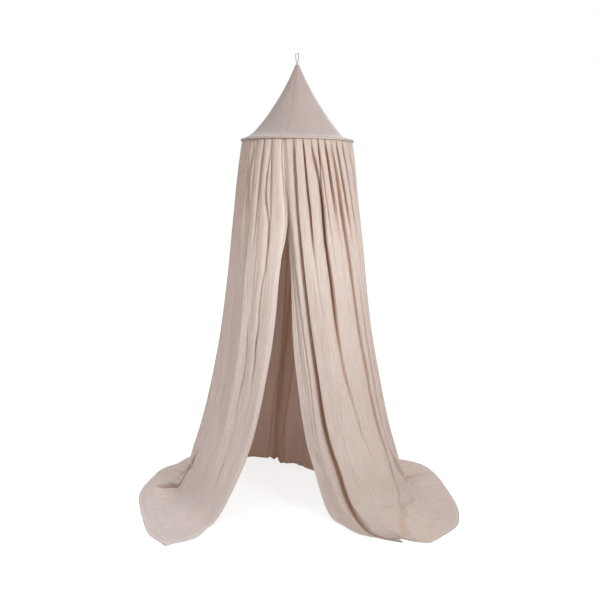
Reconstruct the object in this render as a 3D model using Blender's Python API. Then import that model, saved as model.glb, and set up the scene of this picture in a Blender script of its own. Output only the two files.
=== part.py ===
"""A mosquito net canopy with its hoop: a tape loop, a cone-shaped crown, a hoop in a sewn casing, and a
long gathered skirt of crinkled muslin that is open at the front and trails on the floor.

Metres, +Z up. The origin is the inside top of the tape loop, where a ceiling hook carries the canopy.
The front of the canopy looks along -Y, and +X is to the right of someone who faces it.
"""

import math

import bpy
import numpy as np

# ---------------------------------------------------------------- driving sizes
FLOOR_DROP = 2.070  # from the hook down to the floor
HOOP_HEIGHT = 1.698  # middle of the hoop above the floor
HOOP_RADIUS = 0.2455  # middle of the rod, which makes the ring 0.50 m across with its casing
ROD_RADIUS = 0.003
FIT_GAP = 0.0003  # between pieces that are sewn together or fitted

CASING_CLOTH = 0.0015
CASING_OPENING = 80.0  # degrees left open on the hoop's inner side

TAPE_WIDTH = 0.008
TAPE_THICKNESS = 0.0016
LOOP_WIDTH = 0.0125  # between the middles of the two strands
LOOP_TURN = 24.0  # degrees that the loop is turned about the vertical
LOOP_BEND_STEPS = 6  # bends in the loop's rounded top
# Each strand's way up from the crown's tip: distance from the middle, height above the strand's foot.
LOOP_STRAND = (
    (0.0009, 0.000),
    (0.0024, 0.006),
    (0.0056, 0.016),
)

CROWN_CLOTH = 0.0018
SKIRT_CLOTH = 0.0020

RING_STEPS = 48  # sides of the hoop, its casing and the crown
ROD_SIDES = 8  # sides of the rod and of the casing round it
HOOP_Z = HOOP_HEIGHT - FLOOR_DROP
CASING_RADIUS = ROD_RADIUS + FIT_GAP + CASING_CLOTH

# The crown's outer face: radius, height above the middle of the hoop.
CROWN_PROFILE = (
    (0.2440, 0.0054),
    (0.2250, 0.0110),
    (0.2040, 0.0220),
    (0.1755, 0.0510),
    (0.1410, 0.0930),
    (0.1075, 0.1410),
    (0.0735, 0.1940),
    (0.0425, 0.2490),
    (0.0215, 0.2920),
    (0.0120, 0.3140),
    (0.0080, 0.3230),
)
CROWN_TIP = 0.3270  # height of the closed tip above the middle of the hoop

# The hoop hangs a little lower on its right, and the crown sags with it: height above the middle of the
# hoop, fall for each metre to the right.
LEAN = (
    (0.0000, 0.0124),
    (0.0060, 0.0124),
    (0.0220, 0.0300),
    (0.0600, 0.0260),
    (0.1400, 0.0200),
    (0.3270, 0.0000),
)

# ---------------------------------------------------------------- the skirt's layout
# The cloth's width runs from the left front edge (share 0) round by the left, the back and the right to
# the right front edge (share 1), which lies inside the left one.
FIRST_BEARING = 14.6  # degrees from the front towards the left, where the left front edge is sewn
LAST_BEARING = 388.0  # and where the right front edge is sewn
OVERLAP_TUCK = 0.009  # how far the right edge sits inside the left one at the hoop
OVERLAP_SHARES = (0.945, 0.966)  # over which the cloth goes in by that tuck

# Where each level of the cloth lies: share of the cloth's length, height above the floor.
LEVELS = {
    "hoop": (0.000, HOOP_HEIGHT - CASING_RADIUS - FIT_GAP),
    "shoulder": (0.180, 1.330),
    "waist": (0.485, 0.730),
    "ankle": (0.720, 0.270),
    "foot": (0.865, 0.000),
    "trail": (0.930, 0.000),
    "hem": (1.000, 0.000),
}

# The cloth's path at each section of its width: share, then x and y at each level below the hoop.
SECTIONS = (
    # share  shoulder      waist           ankle           foot            trail           hem
    (0.000, -0.055, -0.268, -0.114, -0.255, -0.238, -0.234, -0.392, -0.268, -0.438, -0.362, -0.557, -0.420),
    (0.030, -0.121, -0.258, -0.188, -0.238, -0.305, -0.212, -0.448, -0.232, -0.540, -0.298, -0.641, -0.335),
    (0.075, -0.205, -0.205, -0.262, -0.190, -0.375, -0.165, -0.508, -0.165, -0.610, -0.182, -0.712, -0.170),
    (0.130, -0.262, -0.118, -0.340, -0.108, -0.452, -0.080, -0.570, -0.050, -0.670, -0.032, -0.771, 0.025),
    (0.200, -0.291, 0.010, -0.378, 0.030, -0.502, 0.080, -0.618, 0.125, -0.690, 0.160, -0.764, 0.205),
    (0.270, -0.262, 0.138, -0.345, 0.178, -0.462, 0.235, -0.572, 0.290, -0.625, 0.340, -0.695, 0.395),
    (0.360, -0.160, 0.245, -0.240, 0.320, -0.335, 0.400, -0.405, 0.460, -0.415, 0.570, -0.430, 0.690),
    (0.450, -0.030, 0.290, -0.075, 0.400, -0.110, 0.475, -0.120, 0.510, -0.125, 0.650, -0.130, 0.800),
    (0.540, 0.108, 0.265, 0.088, 0.342, 0.070, 0.368, 0.068, 0.362, 0.110, 0.540, 0.165, 0.720),
    (0.620, 0.215, 0.175, 0.232, 0.250, 0.268, 0.280, 0.315, 0.330, 0.370, 0.450, 0.430, 0.570),
    (0.690, 0.274, 0.060, 0.341, 0.130, 0.428, 0.185, 0.515, 0.255, 0.590, 0.325, 0.680, 0.405),
    (0.760, 0.277, -0.065, 0.360, 0.000, 0.470, 0.040, 0.580, 0.070, 0.662, 0.098, 0.746, 0.130),
    (0.834, 0.199, -0.195, 0.300, -0.120, 0.412, -0.078, 0.535, -0.080, 0.642, -0.122, 0.743, -0.165),
    (0.890, 0.100, -0.258, 0.190, -0.213, 0.300, -0.178, 0.415, -0.190, 0.540, -0.265, 0.658, -0.323),
    (0.912, 0.056, -0.265, 0.138, -0.228, 0.232, -0.200, 0.345, -0.225, 0.455, -0.330, 0.565, -0.400),
    (0.935, 0.008, -0.268, 0.088, -0.238, 0.166, -0.218, 0.275, -0.235, 0.380, -0.325, 0.474, -0.372),
    (1.000, -0.045, -0.236, -0.008, -0.228, 0.070, -0.216, 0.183, -0.240, 0.272, -0.330, 0.450, -0.394),
)

# The left front edge curls to the right for a short way: share of the width that it takes along, share of
# the length at its middle, half length, sideways reach.
EDGE_CURL = (0.022, 0.172, 0.040, 0.015)

# Each front pleat's valley, as a share of the cloth's width. The back pleats follow by BACK_PLEATS.
LEFT_VALLEYS = (0.000, 0.028, 0.052, 0.075, 0.092, 0.118)
RIGHT_VALLEYS = (0.750, 0.788, 0.813, 0.834, 0.850, 0.871, 0.890, 0.911, 0.935, 0.958, 1.000)
BACK_PLEATS = 25
BACK_WANDER = 0.22  # how far a back valley strays, as a share of the pleat

# How far a pleat's ridge stands out from its valleys: share of the length, depth.
PLEAT_DEPTHS = (
    (0.000, 0.0030),
    (0.030, 0.0120),
    (0.100, 0.0180),
    (0.180, 0.0170),
    (0.350, 0.0140),
    (0.485, 0.0120),
    (0.720, 0.0090),
    (0.840, 0.0060),
    (0.900, 0.0030),
    (1.000, 0.0020),
)
LIES_FROM = 0.84  # share of the length past which the cloth lies, and its pleats only rise
EDGE_PLEAT = 0.35  # a pleat is this much shallower where the front edges overlap

# Each main fold: share of the width, half width, then its depth at each level below the hoop.
FOLDS = (
    # share  width  shoulder waist   ankle   foot    trail   hem
    (0.060, 0.020, -0.012, -0.014, -0.010, -0.004, 0.000, 0.000),
    (0.935, 0.014, -0.010, -0.034, -0.036, -0.014, 0.000, 0.000),
    (0.890, 0.010, -0.018, -0.008, -0.006, 0.000, 0.000, 0.000),
    (0.912, 0.012, 0.006, 0.014, 0.018, 0.018, 0.014, 0.008),
    (0.834, 0.012, -0.006, -0.014, -0.016, -0.008, 0.000, 0.000),
    (0.450, 0.014, 0.006, 0.014, 0.018, 0.010, 0.004, 0.000),
)

# Each roll of cloth that rises from the floor: share of the width, half width, share of the length,
# half length, height.
ROLLS = (
    (0.262, 0.030, 0.925, 0.050, 0.034),
    (0.700, 0.026, 0.915, 0.050, 0.020),
    (0.855, 0.012, 0.930, 0.060, 0.012),
    (0.110, 0.030, 0.900, 0.060, 0.010),
    (0.370, 0.022, 0.920, 0.060, 0.020),
    (0.575, 0.020, 0.910, 0.050, 0.022),
)

# Rows of the solid, as shares of the cloth's length.
ROW_SHARES = (
    0.000, 0.014, 0.035, 0.080, 0.140, 0.220, 0.310, 0.400, 0.485, 0.570,
    0.650, 0.720, 0.770, 0.810, 0.842, 0.870, 0.905, 0.950, 1.000,
)


# ---------------------------------------------------------------- helpers
def clear_scene():
    for item in list(bpy.data.objects):
        bpy.data.objects.remove(item, do_unlink=True)


def finish(name, colour, roughness, metallic=0.0):
    """A plain material of one colour."""
    material = bpy.data.materials.new(name)
    material.use_nodes = True
    shader = material.node_tree.nodes["Principled BSDF"]
    shader.inputs["Base Color"].default_value = (*colour, 1.0)
    shader.inputs["Roughness"].default_value = roughness
    shader.inputs["Metallic"].default_value = metallic
    return material


def piece(name, points, faces, material):
    """One closed body with the given faces, shaded smooth."""
    mesh = bpy.data.meshes.new(name)
    mesh.from_pydata([tuple(map(float, point)) for point in points], [], faces)
    mesh.validate()
    mesh.shade_smooth()
    mesh.set_sharp_from_angle(angle=math.radians(50))
    mesh.materials.append(material)
    made = bpy.data.objects.new(name, mesh)
    bpy.context.scene.collection.objects.link(made)
    return made


def slopes(knots, values, level):
    """The slope of a smooth line at each knot. With level, it never passes its neighbours."""
    steps = np.diff(knots)
    rises = np.diff(values) / steps
    inner = (rises[:-1] * steps[1:] + rises[1:] * steps[:-1]) / (steps[:-1] + steps[1:])
    if level:
        same_way = rises[:-1] * rises[1:] > 0
        total = np.where(same_way, rises[:-1] + rises[1:], 1.0)
        inner = np.where(same_way, 2 * rises[:-1] * rises[1:] / total, 0.0)
    return np.concatenate(([rises[0]], inner, [rises[-1]]))


def smooth_line(knots, values, places, level=False):
    """A cubic line through (knots, values), read at places."""
    knots, values = np.asarray(knots, float), np.asarray(values, float)
    tilt = slopes(knots, values, level)
    left = np.clip(np.searchsorted(knots, places, side="right") - 1, 0, len(knots) - 2)
    width = knots[left + 1] - knots[left]
    t = (np.asarray(places, float) - knots[left]) / width
    start = (1 + 2 * t) * (1 - t) ** 2 * values[left] + t * (1 - t) ** 2 * width * tilt[left]
    end = t * t * (3 - 2 * t) * values[left + 1] + t * t * (t - 1) * width * tilt[left + 1]
    return start + end


def leaned(points):
    """The points, each lower by its distance to the right times the lean at its height."""
    points = np.array(points, float)
    heights, leans = zip(*LEAN)
    points[:, 2] -= points[:, 0] * np.interp(points[:, 2] - HOOP_Z, heights, leans)
    return points


def ease(value, low, high):
    """0 below low, 1 above high, and smooth between."""
    t = np.clip((value - low) / (high - low), 0.0, 1.0)
    return t * t * (3 - 2 * t)


# ---------------------------------------------------------------- turned pieces
def turned(name, outline, material, closed_at_axis=False):
    """Turns a closed outline of (radius, z) about the vertical. The outline runs up its outer side.

    With closed_at_axis, its first and last points lie on the axis.
    """
    ring = outline[1:-1] if closed_at_axis else outline
    points = []
    for step in range(RING_STEPS):
        turn = 2 * math.pi * step / RING_STEPS
        points += [(r * math.cos(turn), r * math.sin(turn), z) for r, z in ring]
    count = len(ring)
    faces = []
    for step in range(RING_STEPS):
        here, there = step * count, (step + 1) % RING_STEPS * count
        for k in range(count - 1 if closed_at_axis else count):
            up = (k + 1) % count
            faces.append((here + k, there + k, there + up, here + up))
    if closed_at_axis:
        first, last = len(points), len(points) + 1
        points += [(0.0, 0.0, outline[0][1]), (0.0, 0.0, outline[-1][1])]
        for step in range(RING_STEPS):
            here, there = step * count, (step + 1) % RING_STEPS * count
            faces.append((first, there, here))
            faces.append((last, here + count - 1, there + count - 1))
    return piece(name, leaned(points), faces, material)


def make_hoop(material):
    outline = []
    for side in range(ROD_SIDES):
        turn = 2 * math.pi * (side + 0.5) / ROD_SIDES - math.pi / 2
        outline.append((HOOP_RADIUS + ROD_RADIUS * math.cos(turn), HOOP_Z + ROD_RADIUS * math.sin(turn)))
    return turned("hoop", outline, material)


def make_casing(material):
    """The strip of cloth folded round the rod, open towards the middle of the hoop."""
    inner_radius = (ROD_RADIUS + FIT_GAP) / math.cos(math.pi / ROD_SIDES)
    outer_radius = inner_radius + CASING_CLOTH
    half = math.radians(180.0 - CASING_OPENING / 2)
    turns = [half * (2 * k / (ROD_SIDES - 1) - 1) for k in range(ROD_SIDES)]
    outer = [(HOOP_RADIUS + outer_radius * math.cos(t), HOOP_Z + outer_radius * math.sin(t)) for t in turns]
    inner = [(HOOP_RADIUS + inner_radius * math.cos(t), HOOP_Z + inner_radius * math.sin(t)) for t in turns]
    return turned("hoop_casing", outer + inner[::-1], material)


def make_crown(material):
    """The cone of cloth: an outer face, and an inner face one thickness further in."""
    profile = np.array(CROWN_PROFILE)
    run = np.gradient(profile, axis=0)
    inward = np.column_stack((-run[:, 1], run[:, 0]))
    inward /= np.linalg.norm(inward, axis=1)[:, None]
    inner = profile + CROWN_CLOTH * inward
    inner[0] = profile[0] + (-CROWN_CLOTH, 0.0)
    outer = [(r, HOOP_Z + z) for r, z in profile]
    inner = [(r, HOOP_Z + z) for r, z in inner]
    tip = (0.0, HOOP_Z + CROWN_TIP)
    below_tip = (0.0, HOOP_Z + CROWN_TIP - 2 * CROWN_CLOTH)
    return turned("crown", [below_tip] + inner[::-1] + outer + [tip], material, closed_at_axis=True)


# ---------------------------------------------------------------- the tape loop
def make_loop(material):
    """A tape folded into a narrow eye. Both ends are sewn together on the crown's tip."""
    tape_half, half_width = TAPE_THICKNESS / 2, LOOP_WIDTH / 2
    foot = HOOP_Z + CROWN_TIP + FIT_GAP
    bend = tape_half - half_width
    path = [(-out, foot + up) for out, up in LOOP_STRAND]
    for k in range(LOOP_BEND_STEPS + 1):
        turn = math.pi * (1 - k / LOOP_BEND_STEPS)
        path.append((half_width * math.cos(turn), bend + half_width * math.sin(turn)))
    path += [(out, foot + up) for out, up in reversed(LOOP_STRAND)]
    path = np.array(path)
    run = np.gradient(path, axis=0)
    run[0], run[-1] = (0.0, 1.0), (0.0, -1.0)
    across = np.column_stack((-run[:, 1], run[:, 0]))
    across /= np.linalg.norm(across, axis=1)[:, None]
    turn = math.radians(LOOP_TURN)
    points = []
    for place, side in zip(path, across):
        for out, deep in ((1, -1), (1, 1), (-1, 1), (-1, -1)):
            x, z = place + out * tape_half * side
            y = deep * TAPE_WIDTH / 2
            points.append((x * math.cos(turn) - y * math.sin(turn), x * math.sin(turn) + y * math.cos(turn), z))
    last = len(path) - 1
    faces = [(0, 1, 2, 3), tuple(4 * last + k for k in (3, 2, 1, 0))]
    for step in range(last):
        for k in range(4):
            here, after = 4 * step + k, 4 * step + (k + 1) % 4
            faces.append((here, here + 4, after + 4, after))
    return piece("hanging_loop", points, faces, material)


# ---------------------------------------------------------------- the skirt
def pleat_valleys():
    """Every pleat's valley round the hoop, as shares of the cloth's width."""
    first, last = LEFT_VALLEYS[-1], RIGHT_VALLEYS[0]
    pitch = (last - first) / BACK_PLEATS
    back = []
    for k in range(1, BACK_PLEATS):
        stray = BACK_WANDER * math.sin(2.4 * k) + 0.5 * BACK_WANDER * math.sin(5.1 * k + 1.0)
        back.append(first + pitch * (k + stray))
    return np.array(LEFT_VALLEYS + tuple(back) + RIGHT_VALLEYS)


def hoop_places(shares):
    """Where the cloth is sewn to the hoop: x and y for each share of its width."""
    bearing = np.radians(FIRST_BEARING + (LAST_BEARING - FIRST_BEARING) * shares)
    radius = HOOP_RADIUS - OVERLAP_TUCK * ease(shares, *OVERLAP_SHARES)
    return -radius * np.sin(bearing), -radius * np.cos(bearing)


def bare_cloth(shares, lengths):
    """The skirt without pleats or folds: an array of (width, length, xyz)."""
    table = np.array(SECTIONS)
    level_shares = [share for share, _ in LEVELS.values()]
    heights = [height for _, height in LEVELS.values()]
    x_hoop, y_hoop = hoop_places(shares)
    xs, ys = [x_hoop], [y_hoop]
    for level in range(1, len(LEVELS)):
        xs.append(smooth_line(table[:, 0], table[:, 2 * level - 1], shares))
        ys.append(smooth_line(table[:, 0], table[:, 2 * level], shares))
    xs, ys = np.array(xs), np.array(ys)
    cloth = np.zeros((len(shares), len(lengths), 3))
    for k in range(len(shares)):
        cloth[k, :, 0] = smooth_line(level_shares, xs[:, k], lengths)
        cloth[k, :, 1] = smooth_line(level_shares, ys[:, k], lengths)
    cloth[:, :, 2] = smooth_line(level_shares, heights, lengths, level=True) - FLOOR_DROP
    cloth[:, :, 2] -= LEAN[0][1] * cloth[:, :, 0] * (1 - ease(lengths, 0.0, LEVELS["shoulder"][0]))
    return cloth


def outward(cloth):
    """The direction away from the canopy's inside at each point, which is up where the cloth lies."""
    across, along = np.gradient(cloth, axis=0), np.gradient(cloth, axis=1)
    normal = np.cross(across, along)
    return normal / np.linalg.norm(normal, axis=2)[:, :, None]


def pleat_relief(shares, lengths, valleys):
    """How far the pleats push each point outward."""
    left = np.clip(np.searchsorted(valleys, shares, side="right") - 1, 0, len(valleys) - 2)
    part = (shares - valleys[left]) / (valleys[left + 1] - valleys[left])
    ridge = np.sin(math.pi * np.clip(part, 0.0, 1.0))
    depths = smooth_line(*zip(*PLEAT_DEPTHS), lengths, level=True)
    vary = 1.0 + 0.35 * np.sin(1.9 * left[:, None] + 4.0 * lengths[None, :])
    vary += 0.25 * np.sin(4.3 * left[:, None] - 9.0 * lengths[None, :] + 1.0)
    near_edge = 1 - ease(shares, *OVERLAP_SHARES) * (1 - EDGE_PLEAT)
    middle = 0.5 * (1 - ease(lengths, LEVELS["ankle"][0], LIES_FROM))
    return near_edge[:, None] * (ridge[:, None] - middle[None, :]) * depths[None, :] * vary


def fold_relief(shares, lengths):
    """How far the main folds push each point outward."""
    level_shares = [share for share, _ in LEVELS.values()]
    relief = np.zeros((len(shares), len(lengths)))
    for place, width, *depths in FOLDS:
        depth = smooth_line(level_shares, [0.0, *depths], lengths, level=True)
        relief += np.exp(-(((shares - place) / width) ** 2))[:, None] * depth[None, :]
    return relief


def roll_relief(shares, lengths):
    """How far the rolls lift each point of the cloth that lies on the floor."""
    relief = np.zeros((len(shares), len(lengths)))
    for place, width, along, reach, height in ROLLS:
        across = np.exp(-(((shares - place) / width) ** 2))
        relief += height * across[:, None] * np.exp(-(((lengths - along) / reach) ** 2))[None, :]
    return relief


def draped_cloth(shares, lengths, valleys):
    """The middle of the skirt's cloth as it hangs and trails."""
    cloth = bare_cloth(shares, lengths)
    taken_along, middle, half_length, reach = EDGE_CURL
    curl = reach * np.exp(-(((lengths - middle) / half_length) ** 2))
    cloth[:, :, 0] += (1 - ease(shares, 0.0, taken_along))[:, None] * curl[None, :]
    relief = pleat_relief(shares, lengths, valleys) + fold_relief(shares, lengths)
    relief += roll_relief(shares, lengths)
    cloth += outward(cloth) * relief[:, :, None]
    lowest = SKIRT_CLOTH / 2 - FLOOR_DROP
    cloth[:, :, 2] = np.maximum(cloth[:, :, 2], lowest)
    return cloth


def make_skirt(material):
    """A closed sheet: the middle of the cloth, half a thickness to each side, and its four edges."""
    valleys = pleat_valleys()
    columns = []
    for start, end in zip(valleys[:-1], valleys[1:]):
        columns += [start, start + (end - start) * 0.33, start + (end - start) * 0.67]
    shares = np.array(columns + [valleys[-1]])
    lengths = np.array(ROW_SHARES)
    middle = draped_cloth(shares, lengths, valleys)
    half = outward(middle) * SKIRT_CLOTH / 2
    wide, long = len(shares), len(lengths)
    outer, inner = middle + half, middle - half
    points = np.concatenate((outer.reshape(-1, 3), inner.reshape(-1, 3)))
    points[:, 2] = np.maximum(points[:, 2], -FLOOR_DROP)
    back = wide * long
    faces = []
    for i in range(wide - 1):
        for j in range(long - 1):
            a, b, c, d = i * long + j, (i + 1) * long + j, (i + 1) * long + j + 1, i * long + j + 1
            faces.append((a, b, c, d))
            faces.append((back + d, back + c, back + b, back + a))
    rim = [i * long for i in range(wide)]
    rim += [(wide - 1) * long + j for j in range(1, long)]
    rim += [i * long + long - 1 for i in range(wide - 2, -1, -1)]
    rim += [j for j in range(long - 2, 0, -1)]
    for here, after in zip(rim, rim[1:] + rim[:1]):
        faces.append((after, here, back + here, back + after))
    return piece("skirt", points, faces, material)


def main():
    clear_scene()
    make_loop(finish("tape", (0.72, 0.60, 0.53), 0.80))
    make_crown(finish("smooth_cotton", (0.58, 0.45, 0.40), 0.85))
    make_hoop(finish("hoop_steel", (0.62, 0.62, 0.60), 0.40, 0.9))
    make_casing(finish("casing_cotton", (0.68, 0.56, 0.50), 0.85))
    make_skirt(finish("crinkled_muslin", (0.70, 0.57, 0.50), 0.90))


main()
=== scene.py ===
# %% [markdown]
# # A mosquito net canopy with its hoop
#
# The canopy hangs from one hook: a tape loop, a cone of smooth cotton, a steel hoop in a sewn casing, and
# a long gathered skirt of crinkled muslin that opens at the front and trails on the floor.
#
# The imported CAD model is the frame. It fixes where the hoop, the floor and each main fold are. This lesson
# dresses it: every soft part is made again as a fine sheet of cloth on the same folds, and every part gets
# a finish made of shader nodes.

# %% Open the frame
import math

import bpy
import mathutils
import numpy as np
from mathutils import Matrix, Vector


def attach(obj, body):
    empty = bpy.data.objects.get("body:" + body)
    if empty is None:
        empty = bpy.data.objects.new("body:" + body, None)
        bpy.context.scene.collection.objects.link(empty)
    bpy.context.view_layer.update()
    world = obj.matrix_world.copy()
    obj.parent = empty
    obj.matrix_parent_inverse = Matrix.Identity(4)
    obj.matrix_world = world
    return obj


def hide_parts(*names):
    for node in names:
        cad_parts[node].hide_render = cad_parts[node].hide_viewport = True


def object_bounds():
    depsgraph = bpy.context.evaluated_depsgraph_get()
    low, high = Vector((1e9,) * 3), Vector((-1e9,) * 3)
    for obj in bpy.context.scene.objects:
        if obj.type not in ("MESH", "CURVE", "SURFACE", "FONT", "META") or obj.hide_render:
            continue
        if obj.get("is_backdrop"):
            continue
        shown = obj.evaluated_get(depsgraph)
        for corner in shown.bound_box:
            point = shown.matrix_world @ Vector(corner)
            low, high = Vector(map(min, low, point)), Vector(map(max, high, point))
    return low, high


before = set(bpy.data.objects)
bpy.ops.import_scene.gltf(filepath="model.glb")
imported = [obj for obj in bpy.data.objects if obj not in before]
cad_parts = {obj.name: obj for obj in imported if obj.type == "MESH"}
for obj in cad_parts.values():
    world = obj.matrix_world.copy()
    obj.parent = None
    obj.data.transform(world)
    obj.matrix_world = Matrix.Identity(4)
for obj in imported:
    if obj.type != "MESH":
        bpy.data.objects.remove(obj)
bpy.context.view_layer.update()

# %% [markdown]
# ## The camera
#
# The photograph was taken from three metres in front, a little under the height of the hoop. The curve of
# the hoop and the places of the near and far edges on the floor give the camera's height and its tilt. A
# tilted camera is used, not a shifted one, so that other views only need to move it.

# %% Stand the camera in front
PHOTO_WIDTH = 600.0  # pixels
FOCAL_PIXELS = 678.3
SENSOR = 36.0  # mm
FLOOR = -2.070  # the floor below the hook, m
CAMERA_PLACE = (0.012, -3.075)  # right of the hook and in front of it, m
CAMERA_HEIGHT = 1.50  # above the floor, m
CAMERA_TILT = 9.5  # degrees down

camera_data = bpy.data.cameras.new("camera")
camera_data.sensor_width = SENSOR
camera_data.lens = FOCAL_PIXELS * SENSOR / PHOTO_WIDTH
camera = bpy.data.objects.new("camera", camera_data)
camera.location = (*CAMERA_PLACE, FLOOR + CAMERA_HEIGHT)
camera.rotation_euler = (math.radians(90.0 - CAMERA_TILT), 0.0, 0.0)
bpy.context.scene.collection.objects.link(camera)
bpy.context.scene.camera = camera
print("lens", round(camera_data.lens, 1), "mm")

# %% [markdown]
# ## The sizes that every piece shares
#
# The canopy's own measurements come first, with the same names as in the CAD source: the hoop, its casing
# and the two cloths. The origin is the inside top of the tape loop, +Z is up and the open front looks
# along -Y.

# %% Name the shared sizes
HOOP_HEIGHT = 1.698  # middle of the hoop above the floor
HOOP_Z = HOOP_HEIGHT + FLOOR
HOOP_RADIUS = 0.2455  # to the middle of the rod
HOOP_LEAN = 0.0124  # how much lower the hoop hangs for each metre to the right
CASING_RADIUS = 0.0048  # of the cloth round the rod
FIT_GAP = 0.0003  # between pieces that are sewn together
SKIRT_WIDTH = 3.45  # the flat cloth, across
SKIRT_LENGTH = 2.00  # the flat cloth, from casing to hem
print("the hoop is", 2 * (HOOP_RADIUS + CASING_RADIUS), "m across")
print("the skirt is cut", SKIRT_WIDTH, "by", SKIRT_LENGTH, "m")

# %% [markdown]
# ## Helpers for smooth lines
#
# A sewn thing has no hard steps, so short tables of sizes are joined by smooth cubic lines. They
# could be Bezier curves in Blender, but a small function reads thousands of places at once.


# %% Read a smooth line through a short table
def slopes(knots, values, level):
    """The slope at each knot. With level, the line never passes its neighbours."""
    steps = np.diff(knots)
    rises = np.diff(values) / steps
    inner = (rises[:-1] * steps[1:] + rises[1:] * steps[:-1]) / (steps[:-1] + steps[1:])
    if level:
        same_way = rises[:-1] * rises[1:] > 0
        total = np.where(same_way, rises[:-1] + rises[1:], 1.0)
        inner = np.where(same_way, 2 * rises[:-1] * rises[1:] / total, 0.0)
    return np.concatenate(([rises[0]], inner, [rises[-1]]))


def smooth_line(knots, values, places, level=False):
    """A cubic line through (knots, values), read at places."""
    knots, values = np.asarray(knots, float), np.asarray(values, float)
    tilt = slopes(knots, values, level)
    left = np.clip(np.searchsorted(knots, places, side="right") - 1, 0, len(knots) - 2)
    width = knots[left + 1] - knots[left]
    t = (np.asarray(places, float) - knots[left]) / width
    start = (1 + 2 * t) * (1 - t) ** 2 * values[left] + t * (1 - t) ** 2 * width * tilt[left]
    end = t * t * (3 - 2 * t) * values[left + 1] + t * t * (t - 1) * width * tilt[left + 1]
    return start + end


def ease(value, low, high):
    """0 below low, 1 above high, and smooth between."""
    t = np.clip((value - low) / (high - low), 0.0, 1.0)
    return t * t * (3 - 2 * t)


def way_along(points):
    """How far each point of a path is from its start."""
    return np.concatenate(([0.0], np.cumsum(np.linalg.norm(np.diff(points, axis=0), axis=1))))


print("halfway up an eased step:", float(ease(0.5, 0.0, 1.0)))


# %% [markdown]
# ## Uneven cloth
#
# Real cloth is never even. A lattice of random heights, joined smoothly, gives soft hills whose size along
# and across the cloth can differ, which is how crinkles run down a hanging sheet. The draws start from a
# fixed seed, so each run gives the same cloth.


# %% Make soft random hills
def uneven(seed, across, along, cell_across, cell_along):
    """Hills between -1 and 1 at each (across, along), about as wide and long as the cells."""
    a, b = np.broadcast_arrays(across / cell_across, along / cell_along)
    a, b = a - a.min(), b - b.min()
    lattice = np.random.RandomState(seed).uniform(-1, 1, (int(a.max()) + 2, int(b.max()) + 2))
    i, j = a.astype(int), b.astype(int)
    p, q = a - i, b - j
    p, q = p * p * (3 - 2 * p), q * q * (3 - 2 * q)
    near = lattice[i, j] * (1 - p) + lattice[i + 1, j] * p
    far = lattice[i, j + 1] * (1 - p) + lattice[i + 1, j + 1] * p
    return near * (1 - q) + far * q


print("three hills:", np.round(uneven(1, np.arange(3.0), np.zeros(3), 1.0, 1.0), 2))


# %% [markdown]
# ## From a grid of points to a piece of cloth
#
# Every sheet here is a grid that follows the threads of the cloth. Each point also keeps its place on the
# flat cloth, in metres, as an attribute called cloth_place. The finishes read it, so that weave and
# crinkle run with the threads however the sheet hangs. A third number says how deep in a fold a point of
# the skirt lies, which the muslin's finish uses for painted shade in the folds, or how far from the seam a
# point of the crown is.


# %% Turn a grid into a mesh
def grid_piece(name, points, places, closed_across=False, closed_along=False):
    """points is (across, along, 3). places is (across, along, 2), or 3 with the extra number."""
    wide, long = points.shape[:2]
    faces_across = wide if closed_across else wide - 1
    faces_along = long if closed_along else long - 1
    i, j = np.meshgrid(np.arange(faces_across), np.arange(faces_along), indexing="ij")
    after, below = (i + 1) % wide, (j + 1) % long
    corners = (i * long + j, after * long + j, after * long + below, i * long + below)
    faces = np.stack(corners, axis=-1).reshape(-1, 4)
    mesh = bpy.data.meshes.new(name)
    mesh.from_pydata(points.reshape(-1, 3).tolist(), [], faces.tolist())
    kept = np.zeros((wide * long, 3), np.float32)
    kept[:, : places.shape[2]] = places.reshape(wide * long, -1)
    mesh.attributes.new("cloth_place", "FLOAT_VECTOR", "POINT").data.foreach_set("vector", kept.ravel())
    mesh.shade_smooth()
    made = bpy.data.objects.new(name, mesh)
    bpy.context.scene.collection.objects.link(made)
    print(name, "has", 2 * len(faces), "triangles")
    return made


# %% [markdown]
# ## The skirt's layout
#
# The skirt is one wide cloth. Its width runs from the left front edge (share 0) round by the left, the
# back and the right to the right front edge (share 1), which lies inside the left one. These are the CAD
# source's own tables, repeated because this script reads only the frame.

# %% Lay out the skirt
FIRST_BEARING = 14.6  # degrees from the front towards the left, where the left edge is sewn on
LAST_BEARING = 388.0  # the right edge, once round and behind the left one
OVERLAP_TUCK = 0.009  # how far the right edge is tucked in behind the left one
OVERLAP_SHARES = (0.945, 0.966)

LEVELS = {  # share of the length, height above the floor
    "hoop": (0.000, HOOP_HEIGHT - CASING_RADIUS - FIT_GAP),
    "shoulder": (0.180, 1.330),
    "waist": (0.485, 0.730),
    "ankle": (0.720, 0.270),
    "foot": (0.865, 0.000),
    "trail": (0.930, 0.000),
    "hem": (1.000, 0.000),
}
LEVEL_SHARES = [share for share, _ in LEVELS.values()]
LEVEL_HEIGHTS = [height for _, height in LEVELS.values()]

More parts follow.
